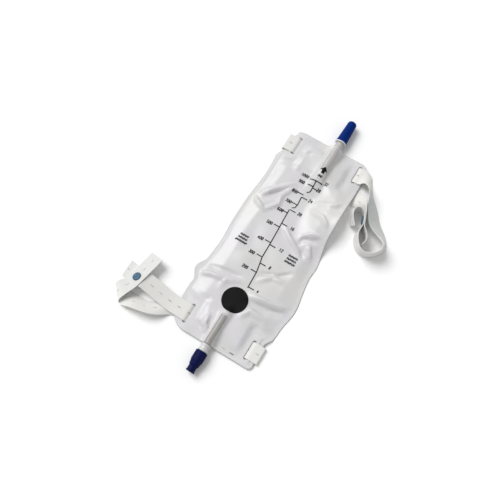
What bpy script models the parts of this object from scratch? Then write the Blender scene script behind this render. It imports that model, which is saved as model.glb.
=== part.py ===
"""Urine leg drainage bag, 1000 ml, lying on its back with its two leg straps buttoned into loops.

The pouch lies along Y, with the inlet at +Y, the outlet valve at -Y and the printed side up.
The origin is on the flat underside of the back film, in the middle of the pouch. Sizes in metres.
"""
import math

import bmesh
import bpy
import numpy as np
from mathutils import Matrix, Vector

# Pouch
POUCH_WIDTH = 0.140
POUCH_LENGTH = 0.342
TOP_LEFT_CORNER = 0.024
TOP_RIGHT_CORNER = 0.015
BOTTOM_LEFT_CORNER = 0.027
BOTTOM_RIGHT_CORNER = 0.013
FILM = 0.0004
CLEAR = 0.0003
SEAL_GAP = 0.00045
SEAL_WIDTH = 0.005
AIR_HEIGHT = 0.0045
AIR_RISE = 0.022
END_RISE = 0.024

# Folds pressed into the front film. Start x, y and end x, y are shares of the pouch's half width
# and half length, the height is a share of the air's height, and half the width is a share of
# the pouch's half width.
FOLDS = (
    (-0.92, 0.29, -0.57, 0.21, 0.50, 0.13),
    (-0.57, 0.21, -0.28, 0.50, 0.42, 0.13),
    (-0.72, 0.29, -0.42, 0.44, -0.40, 0.14),
    (-0.85, 0.32, -0.31, 0.54, 0.35, 0.13),
    (0.32, 0.48, 0.86, 0.61, 0.40, 0.14),
    (0.33, 0.40, 0.82, 0.25, 0.45, 0.13),
    (0.00, 0.17, 0.53, 0.03, 0.45, 0.13),
    (0.42, 0.10, 0.84, 0.20, -0.38, 0.13),
    (-1.02, -0.52, -0.46, -0.47, 0.45, 0.13),
    (0.13, -0.33, 0.60, -0.25, 0.40, 0.13),
    (0.13, -0.48, 0.88, -0.43, 0.55, 0.14),
    (0.14, -0.54, 1.00, -0.48, -0.48, 0.14),
    (0.16, -0.67, 0.63, -0.60, 0.45, 0.14),
    (0.52, -0.67, 0.83, -0.73, -0.40, 0.14),
    (-0.35, -0.79, -0.17, -0.92, 0.50, 0.14),
    (-0.61, -0.79, -0.33, -0.92, -0.35, 0.13),
    (-0.95, -0.71, -0.72, -0.75, 0.35, 0.13),
)

# Straps of buttonhole elastic
STRAP_WIDTH = 0.025
STRAP_THICK = 0.0009
STRAP_DIP = 0.0017
STRAP_REACH = 0.0070

# Slots punched in the four corner flanges for the straps. The upper right one is nearer the end
# than the others by the skew.
SLOT_INSET_X = 0.021
SLOT_INSET_Y = 0.024
SLOT_WIDTH = 0.0062
SLOT_EXTRA = 0.0024
SLOT_SKEW = 0.005
SLOT_X = POUCH_WIDTH / 2 - SLOT_INSET_X
SLOT_Y = POUCH_LENGTH / 2 - SLOT_INSET_Y
FLANGE_X = SLOT_X - 0.32 * STRAP_WIDTH
FLANGE_Y = SLOT_Y - STRAP_WIDTH
FLANGE_FADE = 0.012
PINCHED_X = POUCH_WIDTH / 2 - SLOT_INSET_X / 3
PINCH_FADE = 0.016

# The right edge of the pouch, lifted and drawn in beside the upper strap, and the bands over the straps
EDGE_LIFT = 0.024
EDGE_LIFT_LENGTH = 0.124
EDGE_LIFT_Y = SLOT_Y - 3.16 * STRAP_WIDTH
EDGE_LIFT_START = 0.007
EDGE_DRAW = 0.008
EDGE_DRAW_START = SLOT_Y - 6.28 * STRAP_WIDTH
EDGE_DRAW_FADE = 0.055
BAND_START = SLOT_Y - 0.8 * STRAP_WIDTH
BAND_FADE = 0.015
BAND_SPREAD = 1.2 * STRAP_WIDTH

# Buttons that close the strap loops
UPPER_WALL_FACING = 110.0
LOWER_FACING = 168.0
LOWER_SLOPE = 29.0
BUTTON_RADIUS = 0.0064
BUTTON_THICK = 0.0020
STEM_RADIUS = 0.0015
BACK_RADIUS = 0.0040
BACK_THICK = 0.0011

# Inlet: soft tube, stepped connector, pull-off cap and the flat valve inside the pouch
INLET_X = 0.005
TUBE_RADIUS = 0.0062
TUBE_WALL = 0.0015
TUBE_INSIDE = 0.042
TUBE_OUTSIDE = 0.0090
INLET_SPREAD = 0.018
CONNECTOR_BORE = 0.0032
CONNECTOR_SHANK = 0.018
CONNECTOR_LENGTH = 0.022
BARB_RADIUS = 0.0050
BARB_DEPTH = 0.0007
BARB_STEP = 0.0003
BARBS = 3
FLANGE_RADIUS = 0.0086
FLANGE_THICK = 0.0015
CAP_LENGTH = 0.0385
CAP_RADIUS = 0.0084
CAP_TIP_RADIUS = 0.0068
CAP_WALL = 0.0016
CAP_BEAD = 0.0028
CAP_EDGE = 0.0004
VALVE_WALL = 0.0004
VALVE_LENGTH = 0.044
VALVE_OVERLAP = 0.006
VALVE_LIP = 0.0115
VALVE_LIP_HEIGHT = 0.0006
VALVE_LIP_Z = 0.0038

# Outlet: soft tube, white collar with a plugged stem, sealing ring and blue twist sleeve
OUTLET_X = -0.0045
DRAIN_RADIUS = 0.0055
DRAIN_WALL = 0.0015
DRAIN_INSIDE = 0.046
OUTLET_SPREAD = 0.018
OUTLET_FADE = 0.030
SOCKET_DEPTH = 0.0053
COLLAR_RADIUS = 0.0075
COLLAR_LENGTH = 0.0110
COLLAR_SET_OFF = 0.0005
COLLAR_EDGE = 0.0006
COLLAR_WAIST = 0.0007
COLLAR_BAND = 0.0026
STEM_TIP = 0.0180
STEM_OUTER = 0.0045
STEM_BORE = 0.0030
STEM_EDGE = 0.0009
STEM_FLOOR = 0.0020
PORT_RADIUS = 0.0015
PORT_SET_BACK = 0.0050
SLEEVE_LENGTH = 0.0310
SLEEVE_RADIUS = 0.0086
SLEEVE_WALL = 0.0019
BARREL_LENGTH = 0.0150
NOZZLE_RADIUS = 0.0059
NOZZLE_RIM = 0.0065
NOZZLE_BORE = 0.0033
NOZZLE_LENGTH = 0.0080
NOZZLE_BAND = 0.0016
SLEEVE_EDGE = 0.0006
SEAT_DEPTH = 0.0012
GRIP_GROOVES = 12
GROOVE_RADIUS = 0.0011
GROOVE_DEPTH = 0.0005
RING_SECTION = 0.0007
RING_SET_ON = 0.0070

SIDES = 20
BUTTON_SIDES = 16
FILM_COLUMNS = (0.0, 0.055, 0.115, 0.19, 0.29, 0.43, 0.57, 0.71, 0.85, 1.0)
FILM_ROWS = 32

# Places that follow from the sizes above, and heights from the pieces stacked on each other
UPPER_BUTTON = (SLOT_X + 1.68 * STRAP_WIDTH, SLOT_Y - 2.20 * STRAP_WIDTH)
LOWER_BUTTON = (-SLOT_X - 3.52 * STRAP_WIDTH, -SLOT_Y + 0.20 * STRAP_WIDTH)
LOWER_EDGE = 0.128 * STRAP_WIDTH
STEM_LENGTH = 2 * STRAP_THICK + 3 * CLEAR + BACK_THICK
SECOND_LAYER = STRAP_THICK + CLEAR
BAND_HEIGHT = 2 * (STRAP_THICK + CLEAR)
FLANGE_TOP = BAND_HEIGHT + 2 * FILM + SEAL_GAP
OVER_FLANGE = FLANGE_TOP + CLEAR
INLET_Z = BAND_HEIGHT + FILM + VALVE_WALL + 2 * CLEAR + TUBE_RADIUS
OUTLET_Z = BAND_HEIGHT + FILM + CLEAR + DRAIN_RADIUS
TOP_EDGE = POUCH_LENGTH / 2
BOTTOM_EDGE = -POUCH_LENGTH / 2


def clear_scene():
    for old in list(bpy.data.objects):
        bpy.data.objects.remove(old, do_unlink=True)


def collection(name):
    made = bpy.data.collections.new(name)
    bpy.context.scene.collection.children.link(made)
    return made


def finish(name, color, roughness):
    made = bpy.data.materials.new(name)
    made.use_nodes = True
    shader = made.node_tree.nodes["Principled BSDF"]
    shader.inputs["Base Color"].default_value = (*color, 1.0)
    shader.inputs["Roughness"].default_value = roughness
    shader.inputs["Metallic"].default_value = 0.0
    made.diffuse_color = (*color, 1.0)
    return made


def place(name, mesh, group, material=None):
    made = bpy.data.objects.new(name, mesh)
    group.objects.link(made)
    if material:
        mesh.materials.append(material)
    return made


def mesh_from(shape, name):
    mesh = bpy.data.meshes.new(name)
    shape.to_mesh(mesh)
    shape.free()
    return mesh


def step(value, start, end):
    """Smooth 0 to 1 as value goes from start to end."""
    t = np.clip((value - start) / (end - start), 0.0, 1.0)
    return t * t * (3 - 2 * t)


def bell(value, half_width):
    """1 in the middle, 0 beyond half_width, with a cosine between."""
    t = np.clip(np.abs(value) / half_width, 0.0, 1.0)
    return 0.5 * (1 + np.cos(math.pi * t))


# Pouch surfaces

def outline_place(u, v):
    """Carry the unit square onto the pouch outline: rounded corners, drawn-in and pinched edges."""
    x = u * POUCH_WIDTH / 2
    y = v * POUCH_LENGTH / 2
    top = np.where(u > 0, TOP_RIGHT_CORNER, TOP_LEFT_CORNER)
    bottom = np.where(u > 0, BOTTOM_RIGHT_CORNER, BOTTOM_LEFT_CORNER)
    radius = np.where(v > 0, top, bottom)
    across = np.clip((np.abs(x) - (POUCH_WIDTH / 2 - radius)) / radius, 0.0, 1.0)
    along = np.clip((np.abs(y) - (POUCH_LENGTH / 2 - radius)) / radius, 0.0, 1.0)
    x = np.sign(x) * (np.abs(x) - radius * across * (1 - np.sqrt(1 - along ** 2 / 2)))
    y = np.sign(y) * (np.abs(y) - radius * along * (1 - np.sqrt(1 - across ** 2 / 2)))
    pinch = (POUCH_WIDTH / 2 - PINCHED_X) * step(np.abs(x), SLOT_X + SLOT_WIDTH, PINCHED_X)
    strapped = np.abs(y - np.where(x > 0, -SLOT_Y, SLOT_Y)) - STRAP_WIDTH / 2
    pinch = pinch * (1 - step(strapped, CLEAR, CLEAR + PINCH_FADE))
    drawn = EDGE_DRAW * step(x, 0.3 * SLOT_X, PINCHED_X)
    drawn = drawn * step(y, EDGE_DRAW_START, EDGE_DRAW_START + EDGE_DRAW_FADE)
    return x - np.sign(x) * pinch - drawn, y


def back_height(x, y):
    """Underside of the back film: flat in the middle, up on the straps, lifted at the right edge."""
    start = BAND_START - BAND_SPREAD * step(x, 0.0, SLOT_X) * (y > 0)
    band = BAND_HEIGHT * step(np.abs(y), start - BAND_FADE, start)
    rise = step(x, EDGE_LIFT_START, POUCH_WIDTH / 2 - EDGE_DRAW / 2)
    return band + EDGE_LIFT * rise * bell(y - EDGE_LIFT_Y, EDGE_LIFT_LENGTH / 2)


def ridge(x, y, fold):
    """Height of one fold: a round ridge along a line from one point to another."""
    half_width, half_length = POUCH_WIDTH / 2, POUCH_LENGTH / 2
    x0, y0, x1, y1 = fold[0] * half_width, fold[1] * half_length, fold[2] * half_width, fold[3] * half_length
    length = math.hypot(x1 - x0, y1 - y0)
    along = np.clip(((x - x0) * (x1 - x0) + (y - y0) * (y1 - y0)) / length ** 2, 0.0, 1.0)
    away = np.hypot(x - x0 - along * (x1 - x0), y - y0 - along * (y1 - y0))
    return fold[4] * AIR_HEIGHT * bell(away, fold[5] * half_width)


def tunnel(x, y, middle, edge, inside, top, half_width, fade):
    """Hump of the front film over a tube that comes in at one end of the pouch."""
    depth = (edge - y) * math.copysign(1.0, edge)
    return top * bell(x - middle, half_width) * (1 - step(depth, inside, inside + fade))


def film_gap(x, y):
    """Distance from the back film's top to the front film's underside."""
    side = step(POUCH_WIDTH / 2 - np.abs(x), SEAL_WIDTH, SEAL_WIDTH + AIR_RISE)
    ends = step(POUCH_LENGTH / 2 - np.abs(y), SEAL_WIDTH, SEAL_WIDTH + END_RISE)
    flange = step(np.abs(x), FLANGE_X - FLANGE_FADE, FLANGE_X)
    flange = flange * step(np.abs(y), FLANGE_Y - FLANGE_FADE, FLANGE_Y)
    air = AIR_HEIGHT + sum(ridge(x, y, fold) for fold in FOLDS)
    inlet_top = 2 * TUBE_RADIUS + 2 * VALVE_WALL + 4 * CLEAR
    outlet_top = 2 * DRAIN_RADIUS + 4 * CLEAR
    tubes = tunnel(x, y, INLET_X, TOP_EDGE, TUBE_INSIDE, inlet_top, INLET_SPREAD, VALVE_LENGTH)
    tubes = tubes + tunnel(x, y, OUTLET_X, BOTTOM_EDGE, DRAIN_INSIDE, outlet_top, OUTLET_SPREAD, OUTLET_FADE)
    return SEAL_GAP + air * side * ends * (1 - flange) + tubes


def film_mesh(name, height):
    """One film: a plane grid carried onto the pouch outline and raised to its height."""
    shape = bmesh.new()
    columns = len(FILM_COLUMNS) - 1
    bmesh.ops.create_grid(shape, x_segments=2 * columns, y_segments=FILM_ROWS, size=1.0)
    mesh = mesh_from(shape, name)
    flat = np.empty(len(mesh.vertices) * 3)
    mesh.vertices.foreach_get("co", flat)
    flat = flat.reshape(-1, 3)
    u = np.interp(np.abs(flat[:, 0]) * columns, np.arange(columns + 1), FILM_COLUMNS)
    x, y = outline_place(np.sign(flat[:, 0]) * u, flat[:, 1])
    placed = np.stack([x, y, height(x, y)], axis=1)
    mesh.vertices.foreach_set("co", placed.ravel())
    mesh.update()
    return mesh


def strap_line(x, end):
    """Y of the middle of a threaded strap; the upper one crosses the pouch slightly askew."""
    return end * SLOT_Y + (end > 0) * SLOT_SKEW * (x / SLOT_X + 1) / 2


def slot_cutter(group):
    """Four upright prisms with round ends, one for each strap slot."""
    shape = bmesh.new()
    for side in (-1, 1):
        for end in (-1, 1):
            made = bmesh.ops.create_cube(shape, size=1.0)
            size = (SLOT_WIDTH, STRAP_WIDTH + 2 * SLOT_EXTRA, 6 * FLANGE_TOP)
            bmesh.ops.scale(shape, vec=size, verts=made["verts"])
            middle = (side * SLOT_X, strap_line(side * SLOT_X, end), 0)
            bmesh.ops.translate(shape, vec=middle, verts=made["verts"])
    upright = [e for e in shape.edges if abs(e.verts[0].co.z - e.verts[1].co.z) > FLANGE_TOP]
    bmesh.ops.bevel(shape, geom=upright, offset=0.4 * SLOT_WIDTH, segments=2, affect="EDGES", profile=0.5)
    cutter = place("slot_cutter", mesh_from(shape, "slot_cutter"), group)
    cutter.hide_render = True
    cutter.display_type = "WIRE"
    return cutter


def film(name, height, group, cutter, material):
    made = place(name, film_mesh(name, height), group, material)
    wall = made.modifiers.new("film", "SOLIDIFY")
    wall.thickness = FILM
    wall.offset = 1.0
    cut(made, cutter)
    return made


def cut(made, cutter):
    boolean = made.modifiers.new("cut", "BOOLEAN")
    boolean.operation = "DIFFERENCE"
    boolean.object = cutter


# Turned pieces

def turned(name, profile, where, direction, group, material, closed=False, sides=SIDES):
    """Turn a profile of (radius, height) about an axis; heights run outward along direction."""
    points = [(r, 0.0, h) for r, h in profile]
    edges = [(i, i + 1) for i in range(len(points) - 1)]
    if closed:
        edges.append((len(points) - 1, 0))
    mesh = bpy.data.meshes.new(name)
    mesh.from_pydata(points, edges, [])
    made = place(name, mesh, group, material)
    made.location = where
    made.rotation_euler = Vector((0, 0, 1)).rotation_difference(Vector(direction)).to_euler()
    screw = made.modifiers.new("turn", "SCREW")
    screw.steps = sides
    screw.render_steps = sides
    screw.use_merge_vertices = True
    screw.merge_threshold = 0.00001
    screw.use_smooth_shade = True
    return made


def pipe(name, radius, wall, start, end, where, direction, group, material):
    """A plain soft tube between two heights on its axis."""
    profile = [(radius, end), (radius, start), (radius - wall, start), (radius - wall, end)]
    return turned(name, profile, where, direction, group, material, closed=True)


def connector_profile():
    """Flange, shank in the tube and a stepped taper, with a bore right through."""
    base = TUBE_OUTSIDE + CLEAR
    shank = TUBE_RADIUS - TUBE_WALL - CLEAR
    top = base + FLANGE_THICK
    pitch = CONNECTOR_LENGTH / BARBS
    outer = []
    for i in reversed(range(BARBS)):
        radius = BARB_RADIUS - BARB_STEP * i
        outer.append((radius - BARB_DEPTH, top + pitch * (i + 1)))
        outer.append((radius, top + pitch * i))
    outer += [(FLANGE_RADIUS, top), (FLANGE_RADIUS, base), (shank, base), (shank, base - CONNECTOR_SHANK)]
    outer += [(CONNECTOR_BORE, base - CONNECTOR_SHANK), (CONNECTOR_BORE, top + CONNECTOR_LENGTH)]
    return outer


def cap_profile():
    """Closed thimble: domed tip, slight taper and a bead round the mouth."""
    mouth = TUBE_OUTSIDE + CLEAR + FLANGE_THICK + CLEAR
    tip = mouth + CAP_LENGTH
    outer = []
    for i in range(5):
        angle = math.radians(90 - 22.5 * i)
        outer.append((CAP_TIP_RADIUS * math.cos(angle), tip - CAP_TIP_RADIUS * (1 - math.sin(angle)) * 0.7))
    outer += [(CAP_RADIUS - CAP_EDGE, mouth + CAP_BEAD), (CAP_RADIUS, mouth + CAP_BEAD - CAP_EDGE)]
    outer += [(CAP_RADIUS, mouth + CAP_EDGE), (CAP_RADIUS - CAP_EDGE, mouth)]
    inner_mouth = CAP_RADIUS - CAP_WALL
    inner_tip = CAP_TIP_RADIUS - CAP_WALL
    outer += [(inner_mouth, mouth), (1.12 * inner_tip, tip - 4.4 * CAP_WALL)]
    outer.append((0.8 * inner_tip, tip - 2.5 * CAP_WALL))
    outer[0] = (0.0, tip)
    return outer + [(0.0, tip - 2 * CAP_WALL)]


def body_profile():
    """White collar with a socket for the tube, and a stem with a blind bore."""
    end = COLLAR_LENGTH + STEM_TIP
    waist = COLLAR_RADIUS - COLLAR_WAIST
    slope = COLLAR_BAND + COLLAR_EDGE
    return [
        (0.0, end), (STEM_OUTER - STEM_EDGE, end), (STEM_OUTER, end - STEM_EDGE), (STEM_OUTER, COLLAR_LENGTH),
        (COLLAR_RADIUS - COLLAR_EDGE, COLLAR_LENGTH), (COLLAR_RADIUS, COLLAR_LENGTH - COLLAR_EDGE),
        (COLLAR_RADIUS, COLLAR_LENGTH - COLLAR_BAND), (waist, COLLAR_LENGTH - slope), (waist, slope),
        (COLLAR_RADIUS, COLLAR_BAND), (COLLAR_RADIUS, COLLAR_EDGE), (COLLAR_RADIUS - COLLAR_EDGE, 0.0),
        (DRAIN_RADIUS + CLEAR, 0.0), (DRAIN_RADIUS + CLEAR, SOCKET_DEPTH), (STEM_BORE, SOCKET_DEPTH),
        (STEM_BORE, end - STEM_FLOOR), (0.0, end - STEM_FLOOR),
    ]


def sleeve_profile():
    """Grip barrel, taper and nozzle outside; wide cavity, seat and nozzle bore inside."""
    mouth = COLLAR_LENGTH + CLEAR
    tip = mouth + SLEEVE_LENGTH
    cavity = SLEEVE_RADIUS - SLEEVE_WALL
    shoulder = mouth + BARREL_LENGTH
    neck = tip - NOZZLE_LENGTH
    return [
        (NOZZLE_RIM - SLEEVE_EDGE, tip), (NOZZLE_RIM, tip - SLEEVE_EDGE), (NOZZLE_RIM, tip - NOZZLE_BAND),
        (NOZZLE_RADIUS, tip - NOZZLE_BAND - SLEEVE_EDGE), (NOZZLE_RADIUS, neck),
        (NOZZLE_RADIUS + SEAT_DEPTH, neck - 2 * SEAT_DEPTH),
        (SLEEVE_RADIUS - SLEEVE_EDGE, shoulder + SLEEVE_EDGE), (SLEEVE_RADIUS, shoulder - SLEEVE_EDGE),
        (SLEEVE_RADIUS, mouth + SLEEVE_EDGE),
        (SLEEVE_RADIUS - SLEEVE_EDGE, mouth), (cavity, mouth), (cavity, shoulder + SEAT_DEPTH),
        (NOZZLE_BORE, neck - 2 * SEAT_DEPTH), (NOZZLE_BORE, tip),
    ]


def ring_profile(radius, section, height):
    """Round section of a sealing ring, run down its outer side."""
    turns = [math.radians(90 - 60 * i) for i in range(6)]
    return [(radius + section * math.cos(a), height + section * math.sin(a)) for a in turns]


def round_cutter(name, radius, length, spots, direction, group):
    """Upright cylinders at the given spots, all along one direction."""
    shape = bmesh.new()
    turn = Vector((0, 0, 1)).rotation_difference(Vector(direction)).to_matrix().to_4x4()
    for spot in spots:
        bmesh.ops.create_cone(shape, cap_ends=True, segments=12, radius1=radius, radius2=radius,
                              depth=length, matrix=Matrix.Translation(spot) @ turn)
    cutter = place(name, mesh_from(shape, name), group)
    cutter.hide_render = True
    cutter.display_type = "WIRE"
    return cutter


def reflux_valve(group, material):
    """Flat sleeve on the inner end of the inlet tube: round at the tube, closing to two lips."""
    start = TOP_EDGE - TUBE_INSIDE + VALVE_OVERLAP
    rings = 5
    sides = SIDES
    points = []
    for i in range(rings + 1):
        t = i / rings
        ease = t * t * (3 - 2 * t)
        half_width = (TUBE_RADIUS + CLEAR) * (1 - ease) + VALVE_LIP * ease
        half_height = (TUBE_RADIUS + CLEAR) * (1 - ease) + VALVE_LIP_HEIGHT * ease
        middle = INLET_Z * (1 - ease) + VALVE_LIP_Z * ease
        straight = 1.2 * VALVE_OVERLAP
        along = start - (straight + (VALVE_LENGTH - straight) * (i - 1) / (rings - 1) if i else 0.0)
        if i == 1:
            half_width = half_height = TUBE_RADIUS + CLEAR
            middle = INLET_Z
        for k in range(sides):
            angle = 2 * math.pi * k / sides
            x = INLET_X + half_width * math.cos(angle)
            points.append((x, along, middle + half_height * math.sin(angle)))
    faces = []
    for i in range(rings):
        for k in range(sides):
            a = i * sides + k
            b = i * sides + (k + 1) % sides
            faces.append((a, b, b + sides, a + sides))
    mesh = bpy.data.meshes.new("reflux_valve")
    mesh.from_pydata(points, [], faces)
    made = place("reflux_valve", mesh, group, material)
    wall = made.modifiers.new("film", "SOLIDIFY")
    wall.thickness = VALVE_WALL
    wall.offset = 1.0
    return made


# Straps

def strap_points(stations):
    """Centre and across-vector at each station: x, y, height of the lower edge, facing and lean."""
    centres = []
    acrosses = []
    for x, y, low, facing, lean in stations:
        turn, tip = math.radians(facing), math.radians(lean)
        across = np.array([math.cos(turn) * math.cos(tip), math.sin(turn) * math.cos(tip), math.sin(tip)])
        rise = abs(across[2]) * STRAP_WIDTH / 2 + math.cos(tip) * STRAP_THICK / 2
        centres.append((x, y, low + rise))
        acrosses.append(across)
    return np.array(centres), np.array(acrosses)


def thinned(rows):
    """Leave out the points that lie on a straight, untwisted run."""
    kept = [rows[0]]
    for here, after in zip(rows[1:-1], rows[2:]):
        share = np.linalg.norm(here[:3] - kept[-1][:3]) / np.linalg.norm(after[:3] - kept[-1][:3])
        between = kept[-1] + share * (after - kept[-1])
        if np.abs(here[:3] - between[:3]).max() > 0.00004 or np.abs(here[3:] - between[3:]).max() > 0.01:
            kept.append(here)
    return np.array(kept + [rows[-1]])


def rounded(rows, times=2):
    """Cut the corners of a line of points, which turns it into a smooth curve."""
    for _ in range(times):
        near = 0.75 * rows[:-1] + 0.25 * rows[1:]
        far = 0.25 * rows[:-1] + 0.75 * rows[1:]
        middle = np.stack([near, far], axis=1).reshape(-1, rows.shape[1])
        rows = np.concatenate([rows[:1], middle[1:-1], rows[-1:]])
    return rows


def strap(name, stations, group, material):
    """A flat ribbon lofted through its stations."""
    centres, acrosses = strap_points(stations)
    curve = thinned(rounded(np.concatenate([centres, acrosses], axis=1)))
    centre = curve[:, :3]
    across = curve[:, 3:] / np.linalg.norm(curve[:, 3:], axis=1)[:, None]
    tangent = np.gradient(centre, axis=0)
    normal = np.cross(tangent, across)
    normal /= np.linalg.norm(normal, axis=1)[:, None]
    half = across * STRAP_WIDTH / 2
    thick = normal * STRAP_THICK / 2
    section = np.stack([centre - half - thick, centre + half - thick, centre + half + thick,
                        centre - half + thick], axis=1)
    sunk = np.minimum(section[:, :, 2].min(axis=1), 0.0)
    section[:, :, 2] -= sunk[:, None]
    points = section.reshape(-1, 3)
    faces = [(0, 1, 2, 3)]
    last = 4 * (len(centre) - 1)
    for i in range(0, last, 4):
        # Both wide faces are split along the same diagonal, so a twist never brings them together
        faces += [(i, i + 4, i + 5), (i, i + 5, i + 1), (i + 2, i + 6, i + 3), (i + 6, i + 7, i + 3)]
        faces += [(i + 1, i + 5, i + 6, i + 2), (i + 3, i + 7, i + 4, i)]
    faces.append((last + 3, last + 2, last + 1, last))
    mesh = bpy.data.meshes.new(name)
    mesh.from_pydata([tuple(p) for p in points], [], faces)
    shape = bmesh.new()
    shape.from_mesh(mesh)
    bmesh.ops.recalc_face_normals(shape, faces=shape.faces)
    shape.to_mesh(mesh)
    shape.free()
    return place(name, mesh, group, material)


def threaded(side, end):
    """Stations of a strap through the pouch, from over its open side to its first layer.

    It goes over the flange, down its slot, behind the pouch as the second layer, up the other
    slot, over that flange, round the edge and back under the pouch as the first layer.
    """
    far = SLOT_X + STRAP_REACH
    near = SLOT_X + STRAP_DIP
    inner = SLOT_X - STRAP_DIP
    deep = SLOT_X - STRAP_REACH
    wrap = PINCHED_X + 4 * CLEAR
    turn = wrap + 2 * SECOND_LAYER
    plan = [(side * far, OVER_FLANGE), (side * near, OVER_FLANGE), (side * inner, SECOND_LAYER),
            (side * deep, SECOND_LAYER), (-side * deep, SECOND_LAYER), (-side * inner, SECOND_LAYER),
            (-side * near, OVER_FLANGE), (-side * far, OVER_FLANGE), (-side * wrap, OVER_FLANGE),
            (-side * turn, OVER_FLANGE), (-side * turn, 0.0), (-side * wrap, 0.0), (-side * SLOT_X, 0.0)]
    return [(x, strap_line(x, end), low, 90, 0) for x, low in plan]


def ply(spot, facing, along, out):
    """A point on a standing ply: so far along it, and so far out from its face."""
    turn = math.radians(facing)
    return (spot[0] + along * math.cos(turn) + out * math.sin(turn),
            spot[1] + along * math.sin(turn) - out * math.cos(turn))


def upper_button_frame():
    """Middle of the standing ply at the upper button, and the way the button faces."""
    turn = math.radians(UPPER_WALL_FACING)
    return Vector((*UPPER_BUTTON, STRAP_WIDTH / 2)), Vector((-math.sin(turn), math.cos(turn), 0))


def lower_button_frame():
    """Middle of the sloping ply at the lower button, and the way the button faces."""
    turn, slope = math.radians(LOWER_FACING), math.radians(LOWER_SLOPE)
    rise = LOWER_EDGE + math.sin(slope) * STRAP_WIDTH / 2 + math.cos(slope) * STRAP_THICK / 2
    face = Vector((math.sin(slope) * math.cos(turn), math.sin(slope) * math.sin(turn), math.cos(slope)))
    return Vector((*LOWER_BUTTON, rise)), face


def from_corner(side, end, rows):
    """Stations measured from a corner's slot: x, y and height of the lower edge in strap widths."""
    return [(side * SLOT_X + x * STRAP_WIDTH, end * SLOT_Y + y * STRAP_WIDTH, low * STRAP_WIDTH, facing, lean)
            for x, y, low, facing, lean in rows]


def upper_strap_stations():
    """From the buttoned end, round the standing loop, through the top slots and back to the loop."""
    over = OVER_FLANGE / STRAP_WIDTH
    near, far = 0.36 * STRAP_WIDTH, 0.48 * STRAP_WIDTH
    wall = [ply(UPPER_BUTTON, UPPER_WALL_FACING, along, 0.0) for along in (near, 0.0, -near)]
    mate = [ply(UPPER_BUTTON, UPPER_WALL_FACING, along, STRAP_THICK + CLEAR) for along in (far, 0.0, -far)]
    curl = [(1.32, -2.80, 0.0, 150, -74), (1.08, -2.48, 0.0, 150, -86), (0.94, -2.12, 0.0, 150, -90),
            (1.00, -1.82, 0.0, 150, -90), (1.20, -1.72, 0.0, 180, -90)]
    loop = [
        (1.76, -2.80, 0.0, 190, -86), (1.72, -3.14, 0.0, 205, -82), (1.94, -3.58, 0.0, 218, -82),
        (2.30, -3.92, 0.0, 238, -86), (2.68, -3.96, 0.0, 275, -92), (3.06, -3.76, 0.0, 305, -92),
        (3.36, -3.42, 0.0, 330, -88), (3.46, -3.06, 0.0, 0, -78), (3.32, -2.76, 0.0, 30, -64),
        (3.02, -2.50, 0.0, 44, -52), (2.70, -2.30, 0.0, 44, -44), (2.42, -2.10, 0.0, 42, -42),
        (2.18, -1.84, 0.0, 42, -42), (1.98, -1.52, 0.0, 46, -44), (1.72, -1.18, 0.0, 50, -50),
        (1.50, -0.86, 0.0, 55, -60), (1.32, -0.58, 0.0, 58, -68), (1.12, -0.28, 0.0, 55, -68),
        (0.88, -0.02, 0.0, 58, -54), (0.68, 0.14, 0.4 * over, 72, -30), (0.46, 0.20, over, 88, -6),
    ]
    tail = [
        (-2.76, 0.00, 0.0, 90, 0), (-1.16, -0.28, 0.0, 84, 0), (0.04, -0.76, 0.0, 70, 0),
        (0.68, -1.12, 0.0, 60, 0), (1.08, -1.32, 0.0, 55, 48), (1.38, -1.52, 0.0, 50, 82),
    ]
    tip = [
        (2.04, -2.74, 0.0, 30, 90), (2.30, -3.00, 0.0, 20, 90), (2.40, -3.32, 0.0, 0, 90),
        (2.30, -3.64, 0.0, 0, 90),
    ]
    return (from_corner(1, 1, curl) + [(x, y, 0.0, 180, -90) for x, y in wall] + from_corner(1, 1, loop)
            + threaded(1, 1) + from_corner(1, 1, tail) + [(x, y, 0.0, 30, 90) for x, y in mate]
            + from_corner(1, 1, tip))


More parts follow.
